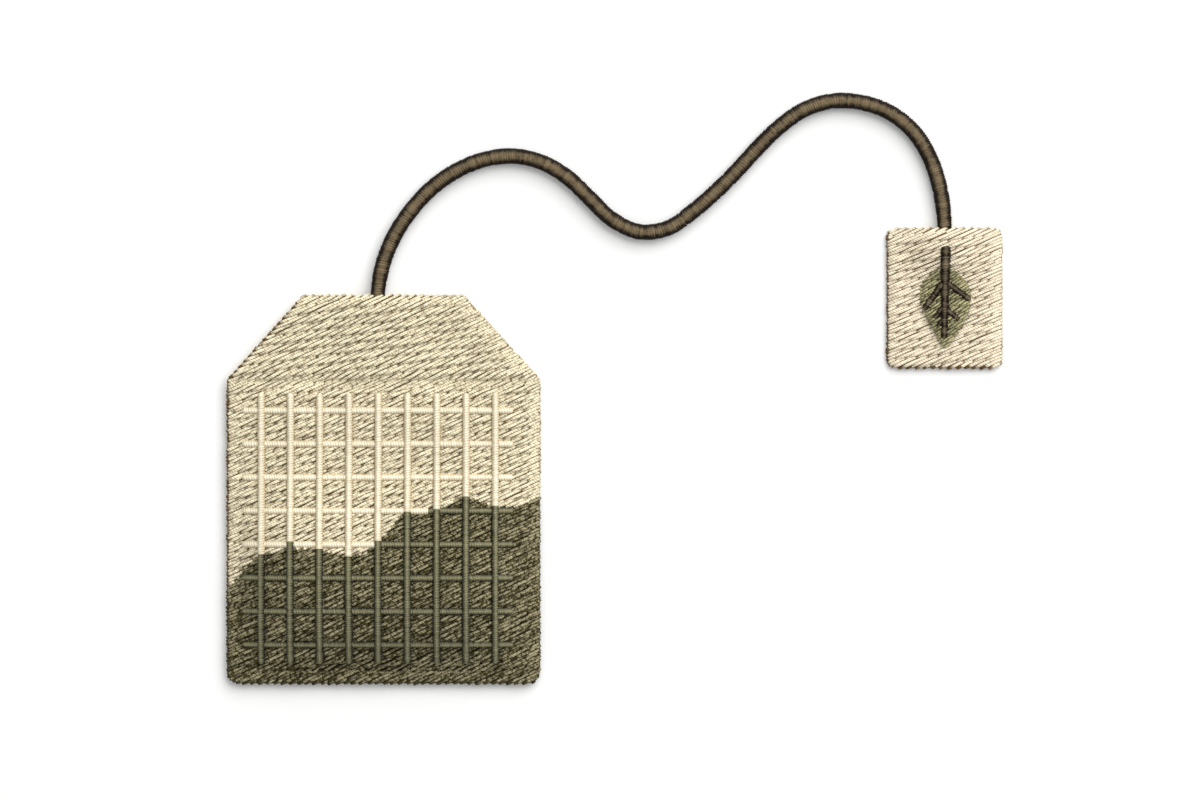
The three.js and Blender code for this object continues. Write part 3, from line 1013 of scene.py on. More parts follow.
@dataclass(frozen=True)
class PouchForm(SewnForm):
    """The pouch's shape as it lies: its outline and the heights of its ground cloth's two faces.

    Attributes:
        head_height: Length of the sloping head above the shoulder crease.
        head_top: Width of the head at its top.
        head_blend: How far below and above the crease the body's form goes over into the head's.
        foot_radius: Radius of the two corners at the foot.
        cloth: Thickness of one layer with the threads on it.
        seam: Width of the flat sewn border.
        seam_lift: How far the border stands off the table.
        seam_reach: The back comes down to the table over this distance from the edge.
        tea_swell, air_swell: The front's rise over the tea and over the empty part.
        tea_fade: The one goes over into the other between these places along.
        swell_reach: The front reaches its full rise over this distance from the border.
        swell_power: How steeply it rises at first.
        crease_reach: The rise dies away over this distance below the shoulder crease.
        crease_depth, crease_half: The crease's depth and half its width.
        head_sag, fold_lift: Height of the head's middle, and of its sides over the corners folded behind it.
        fold_reach: The one goes over into the other between these distances from the middle.
        ridge_rise: How far the held string lifts the head's middle.
        ridge_half, ridge_reach: Half the ridge's width, and how far it falls away on each side.
        rim: The edge is rounded over this distance.
        front_threads, back_threads, back_cords: The room that threads and cords take on each face.
        least: The least distance between the two faces, before their edges are rounded.
    """

    head_height: float = 13.5 * MM
    head_top: float = 25.6 * MM
    head_blend: tuple[float, float] = (2.5 * MM, 0.5 * MM)
    foot_radius: float = 1.9 * MM
    cloth: float = 0.5 * MM
    seam: float = 2.0 * MM
    seam_lift: float = 0.7 * MM
    seam_reach: float = 7.0 * MM
    tea_swell: float = 4.8 * MM
    air_swell: float = 1.1 * MM
    tea_fade: tuple[float, float] = (-14 * MM, 6 * MM)
    swell_reach: float = 14.0 * MM
    swell_power: float = 2.4
    crease_reach: float = 6.0 * MM
    crease_depth: float = 0.15 * MM
    crease_half: float = 0.9 * MM
    head_sag: float = 0.2 * MM
    fold_lift: float = 1.3 * MM
    fold_reach: tuple[float, float] = (5 * MM, 10.5 * MM)
    ridge_rise: float = 3.0 * MM
    ridge_half: float = 1.0 * MM
    ridge_reach: float = 9.0 * MM
    rim: float = 1.4 * MM
    front_threads: float = 0.3 * MM
    back_threads: float = 0.3 * MM
    back_cords: float = 0.34 * MM
    least: float = 0.1 * MM

    @property
    def shoulder(self) -> float:
        """The crease's place along Y."""
        return self.head - self.head_height

    def half_width(self, y: Array) -> Array:
        """Finds half the outline's width.

        Args:
            y: The places along.

        Returns:
            The half widths.
        """
        half = (self.right - self.left) / 2
        body = half - corner_inset(self.foot_radius, y - self.foot)
        slope = (y - self.shoulder) / self.head_height
        return np.where(y > self.shoulder, mix(half, self.head_top / 2, slope), body)

    def inset(self, x: Array, y: Array) -> Array:
        """Finds how far inside the outline some places are, measured square to the nearest edge.

        Args:
            x, y: The places.

        Returns:
            The distances.
        """
        lean = math.atan2((self.right - self.left - self.head_top) / 2, self.head_height)
        side = (self.half_width(y) - np.abs(x)) * np.where(y > self.shoulder, math.cos(lean), 1)
        return np.minimum(np.minimum(side, y - self.foot), self.head - y)

    def _rise(self, distance: Array, reach: float) -> Array:
        """Returns a share that grows steeply over the reach, then levels off."""
        return 1 - (1 - np.clip(distance / reach, 0, 1)) ** self.swell_power

    def _swell(self, x: Array, y: Array) -> Array:
        """Finds how far the filling lifts the front.

        Args:
            x, y: The places.

        Returns:
            The rises.
        """
        fill = mix(self.tea_swell, self.air_swell, ease(y, *self.tea_fade))
        side = self._rise(self.half_width(y) - self.seam - np.abs(x), self.swell_reach)
        foot = self._rise(y - self.foot - self.seam, self.swell_reach)
        return fill * side * foot * self._rise(self.shoulder - y, self.crease_reach)

    def height(self, side: Side, x: Array, y: Array) -> Array:
        """Finds one face's heights, with its edges rounded over.

        Args:
            side: Which face.
            x, y: The places.

        Returns:
            The heights.
        """
        inset = np.minimum(self.half_width(y) - np.abs(x), y - self.foot)
        below, above = self.head_blend
        head_share = ease(y, self.shoulder - below, self.shoulder + above)
        under = self.seam_lift * (1 - ease(inset, self.seam, self.seam_reach))
        folded = mix(self.head_sag, self.fold_lift, ease(np.abs(x), *self.fold_reach))
        corded = (1 - head_share) * ease(inset, self.seam, 2 * self.seam)
        back = mix(under, folded, head_share) + self.back_threads + self.back_cords * corded
        body = self.seam_lift + 2 * self.cloth + self._swell(x, y)
        ridge = 1 - ease(np.abs(x), self.ridge_half, self.ridge_half + self.ridge_reach)
        head = mix(self.fold_lift + 2 * self.cloth, self.ridge_rise, ridge)
        crease = self.crease_depth * (1 - ease(np.abs(y - self.shoulder), 0, self.crease_half))
        front = mix(body, head, head_share) - crease - self.front_threads
        front = np.maximum(front, back + self.least)
        half = (front - back) / 2 * rounded(self.inset(x, y), self.rim)
        return (back + front) / 2 + half * side.value


@dataclass(frozen=True)
class FlapForm(Form):
    """One of the head's two corners, folded flat behind it.

    Attributes:
        pouch: The pouch's shape.
        hand: 1 for the right corner, or -1 for the left one.
        lower, upper: Heights of the flap's two faces.
        roll: The fold's radius.
        rim: The free edges are rounded over this distance.
    """

    pouch: PouchForm
    hand: int
    lower: float = 0.5 * MM
    upper: float = 1.0 * MM
    roll: float = 0.9 * MM
    rim: float = 0.7 * MM

    @classmethod
    def pair(cls, pouch: PouchForm) -> list[Self]:
        """Makes both corners of a pouch."""
        return [cls(pouch, hand) for hand in (-1, 1)]

    @property
    def corners(self) -> Array:
        """Finds the flap's corners.

        Returns:
            The fold's upper and lower end, and the folded corner's tip.
        """
        pouch = self.pouch
        top = np.array([self.hand * pouch.head_top / 2, pouch.head])
        low = np.array([self.hand * pouch.right, pouch.shoulder])
        corner = np.array([self.hand * pouch.right, pouch.head])
        fold = (low - top) / np.linalg.norm(low - top)
        foot = top + fold * np.dot(corner - top, fold)
        return np.array([top, low, 2 * foot - corner])

    def turned(self, angle: float) -> float:
        """Finds the direction of a thread once the corner is folded.

        Args:
            angle: Its direction before.

        Returns:
            Its direction after.
        """
        top, low, _ = self.corners
        fold = math.atan2(*(low - top)[::-1])
        return math.remainder(2 * fold - angle, math.pi)

    def _from_edges(self, x: Array, y: Array) -> list[Array]:
        """Finds how far inside each edge some places are.

        Args:
            x, y: The places.

        Returns:
            The distances from the fold, and from the two free edges.
        """
        corners = self.corners
        distances = []
        for start, end, inner in zip(corners, np.roll(corners, -1, 0), np.roll(corners, -2, 0), strict=True):
            way = (end - start) / np.linalg.norm(end - start)
            square = np.array([-way[1], way[0]]) * np.sign(np.cross(way, inner - start))
            distances.append((x - start[0]) * square[0] + (y - start[1]) * square[1])
        return distances

    def inset(self, x: Array, y: Array) -> Array:
        """Returns how far inside the flap each place is."""
        return np.minimum.reduce(self._from_edges(x, y))

    def height(self, side: Side, x: Array, y: Array) -> Array:
        """Finds one face's heights, which roll up to the head at the fold.

        Args:
            side: Which face.
            x, y: The places.

        Returns:
            The heights.
        """
        top, low, _ = (corner[:, None] for corner in self.corners)
        seat = sum(self.pouch.height(face, *((top + low) / 2)) for face in Side).item() / 2
        fold, *free = self._from_edges(x, y)
        share = 1 - np.clip(fold / self.roll, 0, 1)
        half = (self.upper - self.lower) / 2 * rounded(np.minimum(*free), self.rim)
        level = (self.upper + self.lower) / 2 + half * side.value
        return mix(seat, level, 0.04 + 0.96 * np.sqrt(1 - share**2))


@dataclass(frozen=True)
class TagForm(SewnForm):
    """The tag's shape as it lies: a label of two layers, folded at its foot.

    Attributes:
        radius: Radius of its corners.
        thickness: Thickness of the two layers with their threads.
        ridge_rise: Height of the ridge over the held string.
        ridge_half, ridge_reach: Half the ridge's width, and how far it falls away on each side.
        ridge_start, ridge_end: The ridge falls away between these distances from the tag's head.
        rim: The edge is rounded over this distance.
        threads: The room that threads take on each face.
    """

    radius: float = 1.4 * MM
    thickness: float = 1.1 * MM
    ridge_rise: float = 2.5 * MM
    ridge_half: float = 1.6 * MM
    ridge_reach: float = 5.5 * MM
    ridge_start: float = 2.5 * MM
    ridge_end: float = 9.0 * MM
    rim: float = 1.2 * MM
    threads: float = 0.27 * MM

    def half_width(self, y: Array) -> Array:
        """Returns half the outline's width at each place along."""
        from_end = np.minimum(y - self.foot, self.head - y)
        return (self.right - self.left) / 2 - corner_inset(self.radius, from_end)

    def inset(self, x: Array, y: Array) -> Array:
        """Returns how far inside the outline each place is."""
        side = self.half_width(y) - np.abs(x - self.middle)
        return np.minimum(side, np.minimum(y - self.foot, self.head - y))

    def height(self, side: Side, x: Array, y: Array) -> Array:
        """Finds one face's heights, with its edges rounded over.

        Args:
            side: Which face.
            x, y: The places.

        Returns:
            The heights.
        """
        across = 1 - ease(np.abs(x - self.middle), self.ridge_half, self.ridge_half + self.ridge_reach)
        along = 1 - ease(self.head - y, self.ridge_start, self.ridge_end)
        top = mix(self.thickness, self.ridge_rise, across * along)
        half = (top / 2 - self.threads) * rounded(self.inset(x, y), self.rim)
        return top / 2 + half * side.value


# ---- The object's pieces ----


@dataclass(frozen=True)
class CordRow:
    """A row of parallel cords that stand on the pouch.

    Attributes:
        upright: Whether the cords run along the pouch, or across it.
        first, step: The first cord's place, and the step to the next.
        count: How many there are.
        low, high: Where the cords start and end.
        width: Their width.
        lift: How far their undersides stand off the ground cloth.
        rise: Their height over their undersides.
        groove: How deep their wrapping's grooves are, as a share of their width.
        seed: The start of their random numbers.
        crept: How far tea has crept along each cord from where it stops beside it, as far as any has.
    """

    upright: bool
    first: float
    step: float
    count: int
    low: float
    high: float
    width: float
    lift: float
    rise: float
    groove: float
    seed: int
    crept: tuple[float, ...] = ()

    def clear(self, x: Array, y: Array) -> Array:
        """Finds how far some places are from the nearest cord's middle line.

        Args:
            x, y: The places.

        Returns:
            The distances.
        """
        across, along = (x, y) if self.upright else (y, x)
        nearest = np.clip(np.round((across - self.first) / self.step), 0, self.count - 1)
        beyond = np.maximum(np.maximum(self.low - along, along - self.high), 0)
        return np.hypot(across - self.first - nearest * self.step, beyond)

    def wind(self, strands: Strands, skin: Skin, stained: Field, flat: float) -> None:
        """Adds the cords to one face.

        Args:
            strands: Where the cords are gathered.
            skin: The face.
            stained: Whether a place is stained.
            flat: How much of their height they keep.
        """
        wrapping = Wrapping(self.seed, self.groove)
        length = self.high - self.low
        shares = wrapping.rings(length)
        places = self.first + self.step * np.arange(self.count)[:, None]
        across, along = np.broadcast_arrays(places, mix(self.low, self.high, shares))
        x, y = (across, along) if self.upright else (along, across)
        wide = wrapping.swell(self.count, shares, length)
        lean = skin.normals(x, y) * (self.lift + self.rise / 2) * flat
        x, y = x - lean[..., 0], y - lean[..., 1]
        path = skin.points(x, y, self.lift * flat)
        tints = wrapping.tints(self.count, shares)
        crept = np.pad(self.crept, (0, self.count - len(self.crept)))
        stain = stained(x, y - crept[:, None]).astype(float)
        strands.add(path, skin.normals(x, y), wide * self.width / 2, wide * self.rise * flat, tints, stain)


UPRIGHTS = CordRow(
    upright=True,
    first=-19.54 * MM,
    step=4.68 * MM,
    count=9,
    low=-27.9 * MM,
    high=15.4 * MM,
    width=1.3 * MM,
    lift=0.42 * MM,
    rise=0.75 * MM,
    groove=0.12,
    seed=21,
    crept=(0.0, 1.1 * MM),
)
LEVELS = CordRow(
    upright=False,
    first=12.62 * MM,
    step=-5.34 * MM,
    count=8,
    low=-22.6 * MM,
    high=20.7 * MM,
    width=1.26 * MM,
    lift=0.2 * MM,
    rise=0.52 * MM,
    groove=0.05,
    seed=31,
)


@dataclass
class Pouch:
    """The sewn pouch: its ground cloth, the threads that cover it and the grid of cords on both faces.

    Attributes:
        form: Its shape.
        tea_line: Where the tea stops.
        uprights, levels: The two rows of cords, the uprights on top.
        pressed: How much of their crown threads keep under a cord.
        cord_reach: They are pressed and free at these distances from a cord's middle line.
        back_crown, back_flat: How much of the front's crown and cord height the back has, pressed by the
            bag's weight.
        hem, hemmed: The threads keep this share of their crown over this width along the right side and the
            head, and below the shoulder, where the cloth is turned in.
        hem_edge: The hem's form goes over into the free one between these shares of its width.
        cord_shade, cord_shade_reach: How much painted contact shadow deepens threads beside a cord where tea has
            stained them, and the distances from its middle line between which that ends.
        crease_room: The crease has a finer net over this distance below and above it.
        flap_margin, flap_overlap: Threads stay this far inside a flap's edges, and the head's run this far
            under it.
        room_margin: How far the space for the tea stays inside the sewn border.
        shell: Thickness of the ground cloth round that space.
        least_room: The least height of that space, where the cloth is pressed flat.
    """

    form: PouchForm
    tea_line: TeaLine = TeaLine()
    uprights: CordRow = UPRIGHTS
    levels: CordRow = LEVELS
    pressed: float = 0.25
    cord_reach: tuple[float, float] = (0.45 * MM, 1.1 * MM)
    back_crown: float = 0.3
    back_flat: float = 0.45
    hem: float = 1.2 * MM
    hemmed: float = 0.25
    hem_edge: tuple[float, float] = (0.7, 1.3)
    cord_shade: float = 0.3
    cord_shade_reach: tuple[float, float] = (0.6 * MM, MM)
    crease_room: float = 1.6 * MM
    flap_margin: float = 0.05 * MM
    flap_overlap: float = 2 * MM
    room_margin: float = 0.4 * MM
    shell: float = 0.3 * MM
    least_room: float = 0.02 * MM

    def build(self) -> list[Object]:
        """Makes every piece of the pouch and hides the CAD piece it stands for.

        Returns:
            The pieces.
        """
        thread, gimp = POUCH_THREAD.material(), CORD_THREAD.material()
        ground = self._ground(POUCH_GROUND.material())
        pieces = [ground, self._flaps(thread)]
        for side in Side:
            flat = self.back_flat if side is Side.BACK else 1.0
            for part, head in (("threads", False), ("head_threads", True)):
                pieces.append(self._fill(f"pouch_{side.name.lower()}_{part}", side, thread, head))
            for part, row in (("level_cords", self.levels), ("upright_cords", self.uprights)):
                strands = Strands(Section.LOW_ARCH)
                row.wind(strands, self.form.skin(side), self.tea_line.stained, flat)
                pieces.append(strands.build(f"pouch_{side.name.lower()}_{part}", gimp))
        stand_for(pieces, "filter_bag")
        return pieces

    def _ground(self, material: Material) -> Object:
        """Makes the ground cloth: the outer shell, the shell of the space inside it and the two flaps.

        Args:
            material: Its finish.

        Returns:
            The piece.
        """
        form = self.form
        # The net is finer in the foot's rounded corners and across the crease.
        rows = [
            form.foot + form.foot_radius * np.array([0, 0.04, 0.15, 0.35, 0.65]),
            mix(form.foot + form.foot_radius, form.shoulder - self.crease_room, crowded(40)),
            form.shoulder + 0.75 * self.crease_room * np.linspace(-1, 1, 9),
            mix(form.shoulder + self.crease_room, form.head, crowded(14)),
        ]
        y, share = np.meshgrid(np.concatenate(rows), 2 * crowded(61) - 1, indexing="ij")
        plates = [form.plate(share * form.half_width(y), y), self._room()]
        for flap in FlapForm.pair(form):
            top, low, tip = flap.corners
            down, over = np.meshgrid(crowded(20) * 0.97 + 0.03, crowded(16), indexing="ij")
            x, y = (top[i] + down * (low[i] - top[i] + over * (tip[i] - low[i])) for i in (0, 1))
            plates.append(flap.plate(x, y))
        points, quads = joined(plates)
        stain = self.tea_line.stained(*points.T[:2]).astype(float)
        return mesh_object("pouch_ground_cloth", points, [quads], {"stain": stain}, material)

    def _floor(self, x: Array, y: Array) -> Array:
        """Returns the height of the inside's floor."""
        return self.form.height(Side.BACK, x, y) + self.shell

    def _roof(self, x: Array, y: Array) -> Array:
        """Returns the height of the inside's roof."""
        roof = self.form.height(Side.FRONT, x, y) - self.shell
        return np.maximum(roof, self._floor(x, y)) + self.least_room

    def _room(self) -> Solid:
        """Makes the walls of the space inside the pouch, which look inwards.

        Returns:
            Their points and faces.
        """
        form = self.form
        inset = form.seam + self.room_margin
        along = mix(form.foot + inset, form.shoulder - form.head_blend[0], np.linspace(0, 1, 25))
        y, x = np.meshgrid(along, (form.right - inset) * np.linspace(-1, 1, 25), indexing="ij")
        points, quads = plate(x, y, self._floor, self._roof)
        return points, quads[:, ::-1]

    def _from_cord(self, x: Array, y: Array) -> Array:
        """Returns how far each place is from the nearest cord's middle line."""
        return np.minimum(self.uprights.clear(x, y), self.levels.clear(x, y))

    def _loose(self, x: Array, y: Array) -> Array:
        """Finds how much of their crown threads have beside and under the cords and in the hems.

        Args:
            x, y: The places.

        Returns:
            A share of their crown.
        """
        form = self.form
        beside = mix(self.pressed, 1, ease(self._from_cord(x, y), *self.cord_reach))
        right = np.where(x > 0, form.inset(x, y), 2 * self.hem)
        below = form.shoulder - y
        below = np.where(below > 0, below, 2 * self.hem)
        hem = np.minimum(np.minimum(right, below), form.head - y)
        start, end = (share * self.hem for share in self.hem_edge)
        return np.minimum(beside, mix(self.hemmed, 1, ease(hem, start, end)))

    def _shade(self, x: Array, y: Array) -> Array:
        """Returns the painted shade on threads: at their ends on the outline, and a contact shadow beside a cord
        where tea has stained them.
        """
        # Painted contact shadow beside the cords, only where stained, and the painted shade of the outline's ends.
        beside = 1 - ease(self._from_cord(x, y), *self.cord_shade_reach)
        return np.maximum(self.cord_shade * beside * self.tea_line.stained(x, y), self.form.ends(self.hem, x, y))

    def _in_part(self, side: Side, head: bool, x: Array, y: Array) -> Array:
        """Finds the places in the body or the head of one face that no flap hides.

        Args:
            side: Which face.
            head: Whether it is the head.
            x, y: The places.

        Returns:
            True for each such place.
        """
        inside = self.form.within(0.0, x, y) & ((y > self.form.shoulder) == head)
        for flap in FlapForm.pair(self.form) if side is Side.BACK else []:
            inside &= ~flap.within(self.flap_overlap, x, y)
        return inside

    def _fill(self, name: str, side: Side, material: Material, head: bool) -> Object:
        """Covers the body or the head of one face with threads.

        Args:
            name: The piece's name.
            side: Which face.
            material: The threads' finish.
            head: Whether it is the head.

        Returns:
            The piece.
        """
        strands = Strands(Section.HALF_ROUND)
        back = side is Side.BACK
        crown = FillStitch.crown * (self.back_crown if back else 1)
        stitch = FillStitch(seed=11 + 2 * head + back, crown=crown)
        covers, stained = partial(self._in_part, side, head), self.tea_line.stained
        stitch.sew(strands, self.form.skin(side), self.form.box, covers, stained, self._loose, self._shade)
        return strands.build(name, material)

    def _flaps(self, material: Material) -> Object:
        """Covers the outer face of the two folded corners with threads.

        Args:
            material: The threads' finish.

        Returns:
            The piece.
        """
        strands = Strands(Section.HALF_ROUND)
        crown = FillStitch.crown * self.back_crown
        for flap in FlapForm.pair(self.form):
            box = (*flap.corners.min(0), *flap.corners.max(0))
            stitch = FillStitch(angle=flap.turned(FillStitch.angle), crown=crown, seed=16 + flap.hand)
            stitch.sew(strands, flap.skin(Side.BACK), box, partial(flap.within, self.flap_margin))
        return strands.build("pouch_flap_threads", material)


@dataclass
class TeaHeap:
    """The tea inside the pouch: a settled heap with loose flakes over it.

    Attributes:
        form: The pouch's shape.
        line: Where the tea stops.
        node: The CAD piece that it stands for.
        gap: How far it stays from the ground cloth's two faces.
        short, strewn_short: How far the heap and its flakes end below the line.
        fall: Its height falls away over this distance below the line.
        least: Its least depth under the roof, before it falls away.
        lump, lump_size: Depth of its lumps, and their size across and along.
        flakes: How many flakes lie on it.
        flake, flake_sizes: A flake's length, and the least and most of it that half a flake has.
        flake_wide, flake_curl: Its width and the height of its curl, as shares of its length.
        flake_depth, flake_sunk: Its thickness, and how far it is sunk in the heap.
        seed: The start of its random numbers.
    """

    form: PouchForm
    line: TeaLine
    node: str = "tea_leaves"
    gap: float = 0.9 * MM
    short: float = 0.4 * MM
    strewn_short: float = 1.5 * MM
    fall: float = 7 * MM
    least: float = 0.4 * MM
    lump: float = 0.12 * MM
    lump_size: tuple[float, float] = (0.9 * MM, 0.7 * MM)
    flakes: int = 900
    flake: float = 1.3 * MM
    flake_sizes: tuple[float, float] = (0.35, 0.6)
    flake_wide: float = 0.45
    flake_curl: float = 0.14
    flake_depth: float = 0.12 * MM
    flake_sunk: float = 0.05 * MM
    seed: int = 5

    def _floor(self, x: Array, y: Array) -> Array:
        """Returns the height of the heap's underside."""
        return self.form.height(Side.BACK, x, y) + self.gap

    def _top(self, x: Array, y: Array) -> Array:
        """Finds the heap's height, lumpy and falling towards its upper edge.

        Args:
            x, y: The places.

        Returns:
            The heights.
        """
        under = self._floor(x, y)
        deep = np.maximum(self.form.height(Side.FRONT, x, y) - self.gap - under, self.least)
        fall = np.sqrt(np.clip((self.line.height(x) - y) / self.fall, 0.1, 1))
        lumps = self.lump * (np.sin(x / self.lump_size[0]) * np.cos(y / self.lump_size[1]) - 1)
        return under + deep * fall + lumps

    def _strewn(self, low: Array, high: Array) -> Array:
        """Strews flakes over the heap.

        Args:
            low, high: The corners of the heap's box.

        Returns:
            The points of each flake: its lower face's, then its upper one's.
        """
        rng = np.random.default_rng(self.seed)
        share = rng.uniform(0.03, 0.97, self.flakes)
        x = rng.uniform(low[0] + MM, high[0] - MM, self.flakes)
        y = mix(low[1] + MM, self.line.height(x) - self.strewn_short, share)
        centre = np.stack([x, y, self._top(x, y) - self.flake_sunk], -1)
        turn = rng.uniform(0, 2 * math.pi, self.flakes)[:, None]
        size = self.flake * rng.uniform(*self.flake_sizes, self.flakes)[:, None]
        ring = np.linspace(0, 2 * math.pi, 6, endpoint=False)
        shape = np.cos(ring), self.flake_wide * np.sin(ring), self.flake_curl * np.cos(2 * ring)
        long, wide, curl = (part * size for part in shape)
        cos, sin = np.cos(turn), np.sin(turn)
        upper = centre[:, None] + np.stack([long * cos - wide * sin, long * sin + wide * cos, curl], -1)
        return np.concatenate([upper - np.array([0, 0, self.flake_depth]), upper], 1)

    def build(self) -> Object:
        """Makes the heap and its flakes as one piece.

        Returns:
            The piece.
        """
        low, high = (np.array(corner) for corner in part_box(self.node))
        share, x = np.meshgrid(np.linspace(0, 1, 41), np.linspace(low[0], high[0], 61), indexing="ij")
        y = mix(low[1], self.line.height(x) - self.short, share)
        heap, quads = plate(x, y, self._floor, self._top)
        flakes = self._strewn(low, high)
        sides = flakes.shape[1] // 2
        start = len(heap) + 2 * sides * np.arange(self.flakes)[:, None]
        here = np.arange(sides)
        ahead = (here + 1) % sides
        walls = [start + here, start + ahead, start + ahead + sides, start + here + sides]
        caps = np.concatenate([start + here[::-1], start + here + sides])
        faces = [quads, np.stack(walls, -1).reshape(-1, 4), caps]
        points = np.concatenate([heap, flakes.reshape(-1, 3)])
        piece = mesh_object("tea_heap", points, faces, {}, TEA_LEAF.material())
        stand_for([piece], self.node)
        return piece


@dataclass
class TeaString:
    """The wound string from the pouch's head to the tag.

    Attributes:
        pouch: The form that holds its near end.
        tag: The form that holds its far end.
        diameter: Its diameter.
        wound: Its width over the wound turns, where it lies free.
        sunk: How far the turns' ridges sink where it lies on the table.
        route: The points that its middle follows, in millimetres.
        head_press, tag_press: Its thickness where the head and the tag hold it.
        press_reach: It goes from round to pressed over this distance outside them.
        held_share: The share of its length at each end in which that happens.
        wrapping: Its turns.
    """

    pouch: PouchForm
    tag: TagForm
    diameter: float = 2.4 * MM
    wound: float = 2.62 * MM
    sunk: float = 0.02 * MM
    route: tuple[tuple[float, float, float], ...] = (
        (-0.9, 22.5, 1.7), (-0.9, 27, 1.7), (-0.9, 31.4, 1.7), (-0.1, 36, 1.2), (1.7, 40.5, 1.2),
        (4.3, 44.5, 1.2), (7.5, 48, 1.2), (11.4, 50.8, 1.2), (15.9, 52.7, 1.2), (20.7, 53.3, 1.2),
        (25.3, 52.3, 1.2), (29.4, 49.9, 1.2), (33, 46.5, 1.2), (36.5, 43.2, 1.2), (40.9, 41.2, 1.2),
        (45.5, 41.8, 1.2), (49.5, 44.5, 1.2), (53.2, 47.7, 1.2), (56.6, 51.1, 1.2), (59.8, 54.6, 1.2),
        (63.2, 57.9, 1.2), (67.2, 60.7, 1.2), (71.8, 62.1, 1.2), (76.7, 61.8, 1.2), (81.2, 60.1, 1.2),
        (84.9, 57, 1.2), (87.4, 52.9, 1.2), (88.9, 48.3, 1.2), (89.6, 43.7, 1.35), (89.7, 41, 1.35),
        (89.7, 38.25, 1.35),
    )
    head_press: float = 1.4 * MM
    tag_press: float = 1.1 * MM
    press_reach: float = 4.5 * MM
    held_share: float = 0.12
    wrapping: Wrapping = Wrapping(seed=41, groove=0.08, turn=0.38 * MM, uneven=0.035, spread=0.3)

    def line(self, rings: int) -> Array:
        """Reads the route as one smooth curve, evenly spaced.

        Args:
            rings: The number of points to return.

        Returns:
            The points, in metres.
        """
        knots = np.array(self.route) * MM
        held = np.concatenate([[2 * knots[0] - knots[1]], knots, [2 * knots[-1] - knots[-2]]])
        t = np.linspace(0, 1, 20, endpoint=False)[:, None]
        bend = [2 * t**3 - 3 * t**2 + 1, t**3 - 2 * t**2 + t, -2 * t**3 + 3 * t**2, t**3 - t**2]
        dense = []
        for before, start, end, after in zip(held[:-3], held[1:-2], held[2:-1], held[3:], strict=True):
            spans = pairwise([before, start, end, after])
            back, here, on = (np.linalg.norm(b - a) ** 0.5 for a, b in spans)
            leave = (start - before) / back - (end - before) / (back + here) + (end - start) / here
            reach = (end - start) / here - (after - start) / (here + on) + (after - end) / on
            dense.append(bend[0] * start + bend[1] * leave * here + bend[2] * end + bend[3] * reach * here)
        points = np.concatenate([*dense, knots[-1:]])
        run = np.concatenate([[0], np.cumsum(np.linalg.norm(np.diff(points, axis=0), axis=1))])
        even = np.linspace(0, run[-1], rings)
        line = np.stack([np.interp(even, run, points[:, i]) for i in range(3)], -1)
        line[:, 2] = np.maximum(line[:, 2], self.wound / 2 - self.sunk)
        return line

    def length(self) -> float:
        """Returns the whole string's length."""
        return float(np.linalg.norm(np.diff(self.line(2000), axis=0), axis=1).sum())

    def build(self) -> Object:
        """Makes the string as a wound tube.

        Returns:
            The piece.
        """
        length = self.length()
        shares = self.wrapping.rings(length)
        line = self.line(len(shares))
        at_tag = shares > 0.5
        edge = np.where(at_tag, self.tag.head, self.pouch.head)
        held = 1 - ease((line[:, 1] - edge) / self.press_reach, 0.1, 1)
        held = held * (np.minimum(shares, 1 - shares) < self.held_share)
        pressed = np.where(at_tag, self.tag_press, self.head_press) / self.diameter
        half_width = self.wrapping.swell(1, shares, length) * mix(self.wound, self.diameter, held) / 2
        height = half_width * mix(1, pressed, held)
        up = np.broadcast_to(np.array([0.0, 0.0, 1.0]), (1, len(shares), 3))
        strands = Strands(Section.ROUND)
        tints = self.wrapping.tints(1, shares)
        strands.add(line[None], up, half_width, height, tints, np.zeros_like(tints))
        piece = strands.build("string_wound", STRING_THREAD.material())
        stand_for([piece], "string")
        return piece


